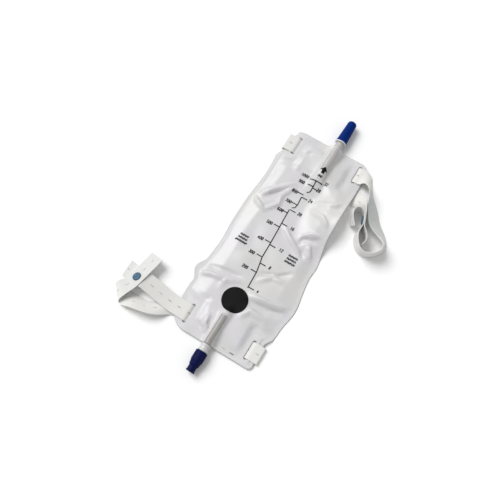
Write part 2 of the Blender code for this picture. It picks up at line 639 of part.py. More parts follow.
def lower_strap_stations():
    """From the tip of the slotted tail, through the bottom slots, round the fold to the button end."""
    over = OVER_FLANGE / STRAP_WIDTH
    edge = LOWER_EDGE / STRAP_WIDTH
    spot, face = lower_button_frame()
    spot = spot - (STRAP_THICK + CLEAR) * face
    lean = -math.degrees(math.asin(face.y))

    def under(station):
        """The station brought under the button end, on the same slope."""
        x, y = station[:2]
        middle = spot.z - (face.x * (x - spot.x) + face.y * (y - spot.y)) / face.z
        tip = math.radians(lean)
        low = middle - abs(math.sin(tip)) * STRAP_WIDTH / 2 - math.cos(tip) * STRAP_THICK / 2
        return (x, y, low, 90, lean)

    tip = [(-4.40, 0.40, 0.0, 90, 0), (-4.00, 0.36, 0.0, 90, -1)]
    covered = [(-3.76, 0.32, 0.0, 90, 0), (-3.50, 0.30, 0.0, 90, 0), (-3.10, 0.27, 0.0, 90, 0)]
    tail = [(-2.90, 0.24, 0.448, 90, -3), (-2.36, 0.18, 0.360, 90, 0), (-1.72, 0.08, 0.240, 90, 0),
            (-1.08, 0.01, over, 90, 0)]
    back = [
        (-0.44, 0.00, 0.0, 90, 0), (-0.92, -0.08, 0.0, 96, 0), (-1.24, -0.30, 0.0, 104, -9),
        (-1.64, -0.68, 0.0, 100, -26), (-2.20, -0.96, 0.0, 92, -38), (-2.92, -1.04, 0.0, 90, -34),
        (-3.48, -1.07, 0.0, 100, -12), (-3.88, -1.10, 0.016, 122, -4), (-4.04, -1.10, 0.120, 135, -8),
        (-3.98, -0.88, 0.200, 140, -14), (-3.80, -0.52, 0.180, 158, -22),
        (-3.616, -0.26, edge, LOWER_FACING, -LOWER_SLOPE), (-3.52, 0.20, edge, LOWER_FACING, -LOWER_SLOPE),
        (-3.424, 0.66, edge, LOWER_FACING, -LOWER_SLOPE), (-3.20, 1.76, edge, LOWER_FACING, -LOWER_SLOPE),
    ]
    return (from_corner(-1, -1, tip) + [under(station) for station in from_corner(-1, -1, covered)]
            + from_corner(-1, -1, tail) + threaded(-1, -1) + from_corner(-1, -1, back))


# Buttons

def button_profile():
    """Domed disc with a stem below it, measured from the disc's underside."""
    return [
        (0.0, BUTTON_THICK), (0.6 * BUTTON_RADIUS, 0.92 * BUTTON_THICK),
        (0.92 * BUTTON_RADIUS, 0.60 * BUTTON_THICK), (BUTTON_RADIUS, 0.35 * BUTTON_THICK),
        (0.95 * BUTTON_RADIUS, 0.0), (STEM_RADIUS, 0.0),
        (STEM_RADIUS, -STEM_LENGTH), (0.0, -STEM_LENGTH),
    ]


def back_profile():
    """Flat washer that closes the stem behind the second ply."""
    near = BACK_THICK - STEM_LENGTH
    hole = STEM_RADIUS + CLEAR
    return [(BACK_RADIUS, near), (BACK_RADIUS, near - BACK_THICK), (hole, near - BACK_THICK), (hole, near)]


def buttoned(which, frame, ribbon, group, cutters, looks):
    """Button through both plies of a strap, with its washer and the hole that it needs."""
    middle, face = frame
    seat = middle + face * (STRAP_THICK / 2 + CLEAR)
    turned(which + "_button", button_profile(), seat, face, group, looks[0], sides=BUTTON_SIDES)
    washer = which + "_button_back"
    turned(washer, back_profile(), seat, face, group, looks[1], closed=True, sides=BUTTON_SIDES)
    hole = round_cutter(which + "_hole_cutter", STEM_RADIUS + CLEAR, 4 * STEM_LENGTH, [middle], face, cutters)
    cut(ribbon, hole)


# Assembly

def build():
    clear_scene()
    part = collection("urine_drainage_bag")
    cutters = collection("cutters")
    film_look = finish("clear_film", (0.78, 0.78, 0.79), 0.25)
    tube_look = finish("soft_tube", (0.66, 0.66, 0.66), 0.25)
    white = finish("white_plastic", (0.86, 0.85, 0.86), 0.35)
    blue = finish("blue_plastic", (0.004, 0.018, 0.150), 0.30)
    navy = finish("navy_plastic", (0.006, 0.012, 0.050), 0.35)
    elastic = finish("white_elastic", (0.68, 0.69, 0.67), 0.85)
    button_look = finish("button_plastic", (0.07, 0.17, 0.24), 0.40)
    ring_look = finish("grey_rubber", (0.05, 0.05, 0.05), 0.60)

    slots = slot_cutter(cutters)
    film("back_film", back_height, part, slots, film_look)
    film("front_film", lambda x, y: back_height(x, y) + FILM + film_gap(x, y), part, slots, film_look)

    inlet = Vector((INLET_X, TOP_EDGE, INLET_Z))
    up = Vector((0, 1, 0))
    pipe("inlet_tube", TUBE_RADIUS, TUBE_WALL, -TUBE_INSIDE, TUBE_OUTSIDE, inlet, up, part, tube_look)
    turned("inlet_connector", connector_profile(), inlet, up, part, white, closed=True)
    turned("inlet_cap", cap_profile(), inlet, up, part, blue)
    reflux_valve(part, film_look)

    down = Vector((0, -1, 0))
    outlet = Vector((OUTLET_X, BOTTOM_EDGE - COLLAR_SET_OFF, OUTLET_Z))
    start, end = -DRAIN_INSIDE - COLLAR_SET_OFF, SOCKET_DEPTH - CLEAR
    pipe("outlet_tube", DRAIN_RADIUS, DRAIN_WALL, start, end, outlet, down, part, tube_look)
    body = turned("valve_body", body_profile(), outlet, down, part, white)
    port_spot = outlet + down * (COLLAR_LENGTH + STEM_TIP - PORT_SET_BACK)
    cut(body, round_cutter("port_cutter", PORT_RADIUS, 4 * STEM_OUTER, [port_spot], (1, 0, 0), cutters))
    ring_radius = STEM_OUTER + CLEAR + RING_SECTION
    ring = ring_profile(ring_radius, RING_SECTION, COLLAR_LENGTH + RING_SET_ON)
    turned("valve_seal_ring", ring, outlet, down, part, ring_look, closed=True)
    sleeve = turned("valve_sleeve", sleeve_profile(), outlet, down, part, navy, closed=True)
    grip = outlet + down * (COLLAR_LENGTH + CLEAR + BARREL_LENGTH / 2)
    reach = SLEEVE_RADIUS + GROOVE_RADIUS - GROOVE_DEPTH
    spots = []
    for i in range(GRIP_GROOVES):
        angle = 2 * math.pi * i / GRIP_GROOVES
        spots.append(grip + Vector((reach * math.cos(angle), 0, reach * math.sin(angle))))
    cut(sleeve, round_cutter("grip_cutter", GROOVE_RADIUS, 0.72 * BARREL_LENGTH, spots, down, cutters))

    upper = strap("upper_strap", upper_strap_stations(), part, elastic)
    lower = strap("lower_strap", lower_strap_stations(), part, elastic)
    buttoned("upper", upper_button_frame(), upper, part, cutters, (button_look, white))
    buttoned("lower", lower_button_frame(), lower, part, cutters, (button_look, white))


build()
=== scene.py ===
"""Urine leg drainage bag, lying on its back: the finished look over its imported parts.

Laid out as a Blender add-on and run as a script. Sizes are in metres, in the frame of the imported
parts: the pouch lies along Y with its inlet at +Y, and the printed film faces +Z.
"""
import math

import bmesh
import bpy
import numpy as np
from bpy.props import FloatProperty, FloatVectorProperty, IntProperty, PointerProperty
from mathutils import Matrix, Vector


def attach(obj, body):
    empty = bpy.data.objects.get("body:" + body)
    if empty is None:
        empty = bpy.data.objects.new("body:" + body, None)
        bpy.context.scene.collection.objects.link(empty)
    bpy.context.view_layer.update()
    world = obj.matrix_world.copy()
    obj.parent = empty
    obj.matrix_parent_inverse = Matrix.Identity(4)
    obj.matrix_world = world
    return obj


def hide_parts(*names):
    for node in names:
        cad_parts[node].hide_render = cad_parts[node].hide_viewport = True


bl_info = {
    "name": "Leg Drainage Bag",
    "version": (1, 0, 0),
    "blender": (4, 5, 0),
    "location": "3D View > Sidebar > Drainage Bag",
    "description": "Builds the pouch, straps, fittings, print and stage of a leg drainage bag",
    "category": "Object",
}

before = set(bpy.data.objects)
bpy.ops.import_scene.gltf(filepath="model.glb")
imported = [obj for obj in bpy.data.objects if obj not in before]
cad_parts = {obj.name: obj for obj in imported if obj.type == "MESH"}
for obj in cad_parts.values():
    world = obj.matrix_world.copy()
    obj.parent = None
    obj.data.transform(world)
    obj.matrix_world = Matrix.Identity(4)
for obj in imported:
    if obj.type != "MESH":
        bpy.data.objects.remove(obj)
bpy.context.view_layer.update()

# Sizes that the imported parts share
POUCH_WIDTH = 0.140
POUCH_LENGTH = 0.342
TOP_LEFT_CORNER = 0.024
TOP_RIGHT_CORNER = 0.015
BOTTOM_LEFT_CORNER = 0.027
BOTTOM_RIGHT_CORNER = 0.013
HALF_WIDTH = POUCH_WIDTH / 2
HALF_LENGTH = POUCH_LENGTH / 2
FILM = 0.0004
CLEAR = 0.0003
SEAL_GAP = 0.00045
SEAL_WIDTH = 0.005
AIR_HEIGHT = 0.0045
AIR_RISE = 0.022
END_RISE = 0.024

# The film: creases begin sooner than the air, and it never lies quite flat on the film behind it
CREASE_RISE = 0.010
CREASE_HEIGHT = 1.7
CREASE_SIDES = (0.88, 0.58)
LEAST_AIR = 0.0012
LEAST_GAP = 0.0001
SOFT_CHANGE = 0.0016

# The weld: blur of its inner line, round patches in the corners, its slight waves, the hem, and where
# the looks of the cut edge, the weld and the patches fade out
WELD_BLUR = 0.0008
PATCH_X = 0.050
PATCH_Y = 0.138
PATCH_RADIUS = 0.0140
WAVE_HEIGHT = 0.0003
WAVE_LENGTH = 0.047
HEM = (0.0100, 0.0108)
CUT_LOOK = (0.0002, 0.0009)
WELD_LOOK = (0.0042, 0.0056)
PATCH_LOOK = (0.0132, 0.0146)

# Painted shade of the hem's slit marks: middle, where it fades out across and along, and how dark it is
HEM_SLIT_SHADES = (
    ((0.0300, -0.1640), (0.0030, 0.0036), (0.0005, 0.0010), 1.0),
    ((0.0170, -0.1635), (0.0024, 0.0034), (0.0002, 0.0006), 0.6),
)

# Creases of the front film: height in hundredths of the air's height, half the width in tenths of a
# millimetre, and the points x, y along it in thousandths of the pouch's half width and half length
CREASES = (
    (50, 80, -919, 286, -573, 210), (44, 80, -573, 210, -370, 314, -412, 400, -281, 500),
    (-42, 100, -722, 293, -417, 441), (36, 85, -848, 322, -591, 429, -306, 536),
    (-25, 100, -582, 808, -310, 851), (42, 90, 318, 479, 576, 508, 768, 544, 860, 614),
    (46, 80, 325, 397, 570, 375, 791, 313, 823, 251), (46, 90, -4, 173, 199, 107, 526, 26),
    (-40, 80, 418, 103, 460, 149, 682, 180, 838, 202), (36, 70, 384, 165, 530, 213, 724, 226),
    (32, 80, 631, 122, 782, 33), (-30, 70, 539, 64, 665, 3), (24, 80, 486, 801, 656, 745),
    (20, 110, -720, 749, -373, 661), (22, 100, -456, 915, -105, 902), (26, 100, 182, 973, 570, 970),
    (46, 80, -1024, -524, -759, -486, -457, -473), (-34, 100, -944, -436, -505, -406, -204, -393),
    (40, 85, 131, -332, 328, -249, 600, -255), (-33, 90, 97, -273, 406, -230, 635, -150),
    (54, 90, 133, -476, 550, -456, 877, -429), (-48, 110, 142, -535, 563, -518, 996, -476),
    (44, 100, 163, -672, 301, -589, 630, -600), (-38, 110, 524, -669, 826, -734),
    (50, 90, -346, -788, -306, -865, -172, -918), (-34, 80, -611, -789, -539, -869, -334, -915),
    (34, 70, -952, -708, -735, -709, -722, -794), (-28, 60, -902, -773, -813, -762),
    (28, 100, -472, -533, -418, -463, -173, -413),
)

# Swings of the film's side edges: side, metres outwards, and the middle and half length along y.
# They start at a share of the way from the middle to the edge.
SWING_START = 0.62
SIDE_SWINGS = (
    (-1, -0.0036, 0.0900, 0.0600), (-1, -0.0022, -0.0350, 0.0400), (-1, 0.0078, -0.0845, 0.0200),
    (-1, 0.0012, -0.1140, 0.0180), (1, -0.0020, -0.0180, 0.0240), (1, 0.0048, -0.0700, 0.0380),
    (1, -0.0020, -0.1250, 0.0180),
)

# The printed scale: its stem, the line over it, its numbers, the rows of strokes for words, the arrow's
# head and shaft as half width, start, length and taper, and how far the print lies above the film
SCALE_STEM = (
    ((0.0041, 0.1100), (0.0044, 0.0930), (0.0006, 0.0893)),
    ((-0.0024, 0.0800), (-0.0012, 0.0670), (-0.0024, 0.0607), (-0.0060, 0.0585)),
    ((-0.0076, 0.0540), (-0.0048, -0.0048), (-0.0045, -0.0263), (-0.0026, -0.0359), (0.0001, -0.0491),
     (0.0013, -0.0750)),
)
SCALE_TOP = ((-0.0060, 0.1100), (0.0142, 0.1104))
LEFT_NUMBERS = (
    ("1000", -0.0145, 0.1119), ("900", -0.0139, 0.1008), ("800", -0.0150, 0.0832), ("700", -0.0155, 0.0654),
    ("600", -0.0185, 0.0475), ("500", -0.0220, 0.0232), ("400", -0.0211, -0.0033), ("300", -0.0210, -0.0273),
    ("200", -0.0178, -0.0506),
)
RIGHT_NUMBERS = (
    ("32", 0.0187, 0.1140), ("28", 0.0140, 0.1005), ("24", 0.0122, 0.0808), ("20", 0.0088, 0.0556),
    ("16", 0.0106, 0.0312), ("12", 0.0134, -0.0046), ("8", 0.0129, -0.0345), ("4", 0.0160, -0.0726),
)
TICK_LENGTH = 0.0093
TICK_SHIFT = 0.0008
WORD_ROWS = (((-0.0420, -0.0167), (0.0140, 0.0160, 0.0195)), ((0.0333, -0.0097), (0.0150, 0.0155, 0.0170)))
ROW_PITCH = 0.0050
ROW_HEIGHT = 0.0034
UNIT_PLACE = (0.0056, 0.1185)
UNIT_SIZE = (0.0072, 0.0038)
ARROW_X = 0.0060
ARROW = ((0.0057, 0.1277, 0.0062, 1), (0.0024, 0.1230, 0.0048, 0))
PRINT_RISE = 0.00016
PRINT_SLOPE_RISE = 0.00020
DISC_PLACE = (-0.0047, -0.0991)

# Paths of the printed digits: points across, from 0 to 56, and up, from 0 to 100
DIGIT_STROKE = 0.00105
DIGIT_PATHS = {
    "0": (28, 100, 50, 86, 56, 50, 50, 14, 28, 0, 6, 14, 0, 50, 6, 86, 28, 100),
    "1": (10, 78, 34, 100, 34, 0),
    "2": (2, 74, 10, 95, 30, 100, 52, 90, 52, 62, 0, 0, 56, 0),
    "3": (2, 90, 28, 100, 52, 90, 50, 60, 20, 53, 54, 46, 54, 10, 28, 0, 0, 10),
    "4": (58, 26, 0, 26, 42, 100, 42, 0),
    "5": (52, 100, 10, 100, 6, 54, 34, 64, 56, 46, 54, 12, 28, 0, 0, 10),
    "6": (50, 94, 28, 100, 6, 84, 0, 40, 8, 6, 30, 0, 54, 8, 54, 46, 30, 60, 4, 42),
    "7": (0, 100, 58, 100, 20, 0),
    "8": (28, 53, 6, 64, 6, 90, 28, 100, 50, 90, 50, 64, 28, 53, 2, 40, 2, 10, 28, 0, 54, 10, 54, 40,
          28, 53),
    "9": (6, 6, 28, 0, 50, 16, 56, 60, 48, 94, 26, 100, 2, 92, 2, 54, 26, 40, 52, 58),
}

# Straps of buttonhole elastic
STRAP_WIDTH = 0.025
STRAP_THICK = 0.0009
STRAP_DIP = 0.0017
STRAP_REACH = 0.0070
STRAP_STEP = 0.0009
CORD_PITCH = 0.0014
WEFT_PITCH = 0.0011
SELVEDGE = (0.0112, 0.0119)

# Slots punched in the four corner flanges for the straps. The upper right one is nearer the end
# than the others by the skew.
SLOT_INSET_X = 0.021
SLOT_INSET_Y = 0.024
SLOT_WIDTH = 0.0062
SLOT_EXTRA = 0.0024
SLOT_SKEW = 0.005
SLOT_X = HALF_WIDTH - SLOT_INSET_X
SLOT_Y = HALF_LENGTH - SLOT_INSET_Y
FLANGE_X = SLOT_X - 0.32 * STRAP_WIDTH
FLANGE_Y = SLOT_Y - STRAP_WIDTH
FLANGE_FADE = 0.012
PINCHED_X = HALF_WIDTH - SLOT_INSET_X / 3
PINCH_FADE = 0.016

# The right edge of the pouch, lifted and drawn in beside the upper strap, and the bands over the straps
EDGE_LIFT = 0.024
EDGE_LIFT_LENGTH = 0.124
EDGE_LIFT_Y = SLOT_Y - 3.16 * STRAP_WIDTH
EDGE_LIFT_START = 0.007
EDGE_DRAW = 0.008
EDGE_DRAW_START = SLOT_Y - 6.28 * STRAP_WIDTH
EDGE_DRAW_FADE = 0.055
EDGE_DRAW_INNER = 0.3 * SLOT_X
BAND_START = SLOT_Y - 0.8 * STRAP_WIDTH
BAND_FADE = 0.015
BAND_SPREAD = 1.2 * STRAP_WIDTH

# Buttons that close the strap loops
UPPER_WALL_FACING = 110.0
LOWER_FACING = 168.0
LOWER_SLOPE = 29.0
BUTTON_RADIUS = 0.0064
BUTTON_THICK = 0.0020
STEM_RADIUS = 0.0015
BACK_RADIUS = 0.0040
BACK_THICK = 0.0011

# Inlet: soft tube, stepped connector, pull-off cap and the flat valve inside the pouch
INLET_X = 0.005
TUBE_RADIUS = 0.0062
TUBE_WALL = 0.0015
TUBE_INSIDE = 0.042
TUBE_OUTSIDE = 0.0090
CONNECTOR_BORE = 0.0032
CONNECTOR_SHANK = 0.018
CONNECTOR_LENGTH = 0.022
BARB_RADIUS = 0.0050
BARB_DEPTH = 0.0007
BARB_STEP = 0.0003
BARBS = 3
FLANGE_RADIUS = 0.0086
FLANGE_THICK = 0.0015
CAP_LENGTH = 0.0385
CAP_RADIUS = 0.0084
CAP_TIP_RADIUS = 0.0068
CAP_WALL = 0.0016
CAP_BEAD = 0.0028
CAP_EDGE = 0.0004
CAP_RIBS = 24
RIB_DEPTH = 0.00018
RIBS_START = (0.0045, 0.0070)
RIBS_END = (0.0090, 0.0120)
VALVE_WALL = 0.0004
VALVE_LENGTH = 0.044
VALVE_OVERLAP = 0.006
VALVE_LIP = 0.0115
VALVE_LIP_HEIGHT = 0.0006
VALVE_LIP_Z = 0.0038
VALVE_START = TUBE_INSIDE - VALVE_OVERLAP

# Outlet: soft tube, white collar with a plugged stem, sealing ring and blue twist sleeve
OUTLET_X = -0.0045
DRAIN_RADIUS = 0.0055
DRAIN_WALL = 0.0015
DRAIN_INSIDE = 0.046
SOCKET_DEPTH = 0.0053
COLLAR_RADIUS = 0.0075
COLLAR_LENGTH = 0.0110
COLLAR_SET_OFF = 0.0005
COLLAR_EDGE = 0.0006
COLLAR_WAIST = 0.0007
COLLAR_BAND = 0.0026
STEM_TIP = 0.0180
STEM_OUTER = 0.0045
STEM_BORE = 0.0030
STEM_EDGE = 0.0009
STEM_FLOOR = 0.0020
PORT_SET_BACK = 0.0050
PORT_DEPTH = 0.0009
PORT_EDGE = (0.0011, 0.0015)
SLEEVE_LENGTH = 0.0310
SLEEVE_RADIUS = 0.0086
SLEEVE_WALL = 0.0019
BARREL_LENGTH = 0.0150
NOZZLE_RADIUS = 0.0059
NOZZLE_RIM = 0.0065
NOZZLE_BORE = 0.0033
NOZZLE_LENGTH = 0.0080
NOZZLE_BAND = 0.0016
SLEEVE_EDGE = 0.0006
SEAT_DEPTH = 0.0012
GROOVES = 12
GROOVE_DEPTH = 0.00055
RING_SECTION = 0.0007
RING_SET_ON = 0.0070

# Film drawn over the tubes: room round them, slope of its sides and how much of it goes further in,
# and how deep and over what length it drops beyond their inner ends
TENT_ROOM = 0.0005
TENT_SLOPE = 1.6
VALVE_EASING = 1.2
DRAIN_EASING = 0.9
VALVE_DROP = (0.012, 0.030)
DRAIN_DROP = (0.014, 0.026)

# Camera, lens and key light of the photograph, in degrees, metres and millimetres
CAMERA_TURN = 31.3
CAMERA_RISE = 73.0
CAMERA_AWAY = 0.99
CAMERA_AIM = (-0.0252, -0.0252, 0.0)
LENS = 50.4
SENSOR = 36.0
KEY_FROM = (-0.62, 0.15, 0.77)
FLOOR_HALF = 3.0
FLOOR_DROP = 0.0002

# Places that follow from the sizes above, and heights from the pieces stacked on each other
UPPER_BUTTON = (SLOT_X + 1.68 * STRAP_WIDTH, SLOT_Y - 2.20 * STRAP_WIDTH)
LOWER_BUTTON = (-SLOT_X - 3.52 * STRAP_WIDTH, -SLOT_Y + 0.20 * STRAP_WIDTH)
LOWER_EDGE = 0.128 * STRAP_WIDTH
STEM_LENGTH = 2 * STRAP_THICK + 3 * CLEAR + BACK_THICK
SECOND_LAYER = STRAP_THICK + CLEAR
BAND_HEIGHT = 2 * (STRAP_THICK + CLEAR)
FLANGE_TOP = BAND_HEIGHT + 2 * FILM + SEAL_GAP
OVER_FLANGE = FLANGE_TOP + CLEAR
INLET_Z = BAND_HEIGHT + FILM + VALVE_WALL + 2 * CLEAR + TUBE_RADIUS
OUTLET_Z = BAND_HEIGHT + FILM + CLEAR + DRAIN_RADIUS
TOP_EDGE = HALF_LENGTH
BOTTOM_EDGE = -HALF_LENGTH


# Shapes worked out as arrays

def step(value, start, end):
    """Smooth 0 to 1 as value goes from start to end: 3 t squared less 2 t cubed."""
    t = np.clip((value - start) / (end - start), 0.0, 1.0)
    return t * t * (3 - 2 * t)


def bell(value, half_width):
    """Half of one plus the cosine: 1 in the middle, 0 beyond half_width."""
    t = np.clip(np.abs(value) / half_width, 0.0, 1.0)
    return 0.5 * (1 + np.cos(math.pi * t))


def joined(*numbers):
    """Points from arrays of their coordinates, spread over each other."""
    return np.stack(np.broadcast_arrays(*numbers), axis=-1)


def drawn_in(x, y):
    """How far the right edge is drawn in beside the upper strap: a step along x times one along y."""
    along = step(y, EDGE_DRAW_START, EDGE_DRAW_START + EDGE_DRAW_FADE)
    return EDGE_DRAW * step(x, EDGE_DRAW_INNER, PINCHED_X) * along


def outline_place(u, v):
    """Carry the unit square onto the film's outline: rounded corners, drawn-in and pinched edges, and
    sides that swing out or in by bells along y."""
    x = u * HALF_WIDTH
    y = v * HALF_LENGTH
    top = np.where(u > 0, TOP_RIGHT_CORNER, TOP_LEFT_CORNER)
    bottom = np.where(u > 0, BOTTOM_RIGHT_CORNER, BOTTOM_LEFT_CORNER)
    radius = np.where(v > 0, top, bottom)
    across = np.clip((np.abs(x) - (HALF_WIDTH - radius)) / radius, 0.0, 1.0)
    along = np.clip((np.abs(y) - (HALF_LENGTH - radius)) / radius, 0.0, 1.0)
    x = np.sign(x) * (np.abs(x) - radius * across * (1 - np.sqrt(1 - along ** 2 / 2)))
    y = np.sign(y) * (np.abs(y) - radius * along * (1 - np.sqrt(1 - across ** 2 / 2)))
    pinch = (HALF_WIDTH - PINCHED_X) * step(np.abs(x), SLOT_X + SLOT_WIDTH, PINCHED_X)
    strapped = np.abs(y - np.where(x > 0, -SLOT_Y, SLOT_Y)) - STRAP_WIDTH / 2
    pinch = pinch * (1 - step(strapped, CLEAR, CLEAR + PINCH_FADE))
    x = x - np.sign(x) * pinch - drawn_in(x, y)
    for side, out, middle, half in SIDE_SWINGS:
        x = x + side * out * step(side * u, SWING_START, 1.0) * bell(y - middle, half)
    return x, y


def back_height(x, y):
    """Underside of the back film: flat in the middle, up on the straps, lifted at the right edge."""
    start = BAND_START - BAND_SPREAD * step(x, 0.0, SLOT_X) * (y > 0)
    band = BAND_HEIGHT * step(np.abs(y), start - BAND_FADE, start)
    rise = step(x, EDGE_LIFT_START, HALF_WIDTH - EDGE_DRAW / 2)
    return band + EDGE_LIFT * rise * bell(y - EDGE_LIFT_Y, EDGE_LIFT_LENGTH / 2)


def ridges(x, y):
    """Sum over the creases of height times the bell of the distance from the line, half as wide again
    on one side of it as on the other, dying away at the line's two ends."""
    total = np.zeros_like(x)
    for height, half, *line in CREASES:
        height, half = height / 100, half / 10000
        line = np.reshape(line, (-1, 2)) / 1000 * (HALF_WIDTH, HALF_LENGTH)
        lengths = np.hypot(*np.diff(line, axis=0).T)
        starts = np.concatenate([[0], np.cumsum(lengths)])
        nearest, share, side = np.full(x.shape, 1.0), np.zeros_like(x), np.zeros_like(x)
        for (x0, y0), (x1, y1), length, gone in zip(line[:-1], line[1:], lengths, starts):
            along = np.clip(((x - x0) * (x1 - x0) + (y - y0) * (y1 - y0)) / length ** 2, 0.0, 1.0)
            away = np.hypot(x - x0 - along * (x1 - x0), y - y0 - along * (y1 - y0))
            closer = away < nearest
            nearest = np.where(closer, away, nearest)
            share = np.where(closer, (gone + along * length) / starts[-1], share)
            side = np.where(closer, (x - x0) * (y1 - y0) - (y - y0) * (x1 - x0), side)
        ends = 1 - 0.75 * np.abs(2 * share - 1) ** 3
        reach = half * np.where(side > 0, *CREASE_SIDES)
        total = total + CREASE_HEIGHT * height * AIR_HEIGHT * ends * bell(nearest, reach)
    return total


def crumple(x, y):
    """Soft unevenness of the film, between -1 and 1: five waves in turned directions, each as high as
    it is long and bent by a slower wave across it, over the sum of their lengths."""
    total = np.zeros_like(x)
    waves = ((0.3, 0.052, 0.9), (1.25, 0.041, 2.1), (2.2, 0.066, 4.0), (2.85, 0.033, 5.2), (0.8, 0.090, 0.2))
    for turn, length, shift in waves:
        run = x * math.cos(turn) + y * math.sin(turn)
        side = y * math.cos(turn) - x * math.sin(turn)
        bend = 1.4 * np.sin(2 * math.pi * side / (2.3 * length) + shift)
        total = total + length * np.sin(2 * math.pi * run / length + shift + bend)
    return total / sum(length for turn, length, shift in waves)


def over_oval(x, half_width, half_height, middle, steep):
    """Height of film drawn over an oval: the oval's own top, and straight sides of the given
    steepness from the points where the oval's side is as steep."""
    touch = half_width * steep * half_width / np.hypot(half_height, steep * half_width)
    near = np.minimum(np.abs(x), touch) / half_width
    return middle + half_height * np.sqrt(1 - near ** 2) - steep * (np.abs(x) - touch).clip(0.0)


def valve_section(t):
    """Half width, half height and middle of the flat valve, from the tube at 0 to the lips at 1."""
    ease = step(t, 0.12, 1.0)
    half_width = (TUBE_RADIUS + CLEAR) * (1 - ease) + VALVE_LIP * ease
    half_height = (TUBE_RADIUS + CLEAR) * (1 - ease) + VALVE_LIP_HEIGHT * ease
    return half_width, half_height, INLET_Z * (1 - ease) + VALVE_LIP_Z * ease, ease


def over_fittings(x, y):
    """Height of the film over the tubes and the valve inside the pouch, which falls below the
    pouch's own air beyond their inner ends."""
    room = TENT_ROOM + FILM / 2
    depth = TOP_EDGE - y
    half_width, half_height, middle, ease = valve_section((depth - VALVE_START) / VALVE_LENGTH)
    slope = TENT_SLOPE - VALVE_EASING * ease
    inlet = over_oval(x - INLET_X, half_width + room, half_height + room, middle, slope)
    lips = VALVE_START + VALVE_LENGTH
    inlet = inlet - VALVE_DROP[0] * step(depth, lips, lips + VALVE_DROP[1])
    depth = y - BOTTOM_EDGE
    slope = TENT_SLOPE - DRAIN_EASING * step(depth, 0.6 * DRAIN_INSIDE, DRAIN_INSIDE + 0.012)
    outlet = over_oval(x - OUTLET_X, DRAIN_RADIUS + room, DRAIN_RADIUS + room, OUTLET_Z, slope)
    outlet = outlet - DRAIN_DROP[0] * step(depth, DRAIN_INSIDE - 0.002, DRAIN_INSIDE + DRAIN_DROP[1])
    return np.maximum(inlet, outlet)


def weld_share(x, y):
    """1 where the two films are welded, round the rim and in the slotted corners, and 0 inside."""
    rim = np.minimum(HALF_WIDTH - np.abs(x), HALF_LENGTH - np.abs(y))
    corner = np.hypot(np.minimum(np.abs(x) - PATCH_X, 0.0), np.minimum(np.abs(y) - PATCH_Y, 0.0))
    return 1 - np.minimum(step(rim, SEAL_WIDTH - WELD_BLUR, SEAL_WIDTH + WELD_BLUR),
                          step(corner, PATCH_RADIUS - WELD_BLUR, PATCH_RADIUS + WELD_BLUR))


def inside_weld(u, v, side_rise, end_rise):
    """0 on the weld, rising to 1 over one distance from the sides and another from the ends."""
    side = step(HALF_WIDTH * (1 - np.abs(u)), SEAL_WIDTH, SEAL_WIDTH + side_rise)
    return side * step(HALF_LENGTH * (1 - np.abs(v)), SEAL_WIDTH, SEAL_WIDTH + end_rise)


def film_gap(x, y, u, v):
    """Distance between the films: air and creases inside the weld, or the film drawn over a tube
    where that is higher, with a soft change from one to the other."""
    flange = step(np.abs(x), FLANGE_X - FLANGE_FADE, FLANGE_X)
    flange = flange * step(np.abs(y), FLANGE_Y - FLANGE_FADE, FLANGE_Y)
    near = inside_weld(u, v, CREASE_RISE, CREASE_RISE)
    soft = bpy.context.scene.drainage_pouch.crumple * crumple(x, y)
    air = (AIR_HEIGHT + soft) * inside_weld(u, v, AIR_RISE, END_RISE) + ridges(x, y) * near
    air = air * (1 - flange)
    air = 0.5 * (air + np.hypot(air, LEAST_AIR * near))
    tubes = over_fittings(x, y) - back_height(x, y) - 1.5 * FILM
    return LEAST_GAP + 0.5 * (air + tubes + np.hypot(air - tubes, SOFT_CHANGE))


def rim_wave(x, y):
    """Slight waves of the weld: a sine along x where the films are welded."""
    return WAVE_HEIGHT * np.sin(2 * math.pi * x / WAVE_LENGTH + 1.0) * weld_share(x, y)


def front_place(u, v):
    """Middle of the front film at u across and v along: outline place, back film, gap and waves."""
    x, y = outline_place(u, v)
    height = back_height(x, y) + 1.5 * FILM + film_gap(x, y, u, v) + rim_wave(x, y)
    return joined(x, y, height)


def back_place(u, v):
    """Middle of the back film at u across and v along, with shallow creases away from the floor."""
    x, y = outline_place(u, v)
    free = step(1 - np.abs(u), 0.08, 0.4) * step(1 - np.abs(v), 0.1, 0.3)
    raised = 0.0004 * np.abs(crumple(x, y)) * free + np.maximum(rim_wave(x, y), 0)
    return joined(x, y, back_height(x, y) + 0.5 * FILM + raised)


def film_top(x, y):
    """Height of the print on the front film at a place away from the side swings: the film's own
    height and a little more, the more the steeper the film is there."""
    def height(x, y):
        return front_place((x + drawn_in(x, y)) / HALF_WIDTH, y / HALF_LENGTH)[..., 2]
    here, reach = height(x, y), 0.0004
    slope = np.hypot(height(x + reach, y) - here, height(x, y + reach) - here) / reach
    return here + PRINT_RISE + PRINT_SLOPE_RISE * np.hypot(1, slope)


def grid_faces(rows, columns, ring=False):
    """Quads between the rows and columns of a grid of points; ring joins the last column to the first."""
    i, j = np.meshgrid(np.arange(rows - 1), np.arange(columns if ring else columns - 1), indexing="ij")
    beside = (j + 1) % columns
    here, above = i * columns, (i + 1) * columns
    return joined(here + j, here + beside, above + beside, above + j).reshape(-1, 4)


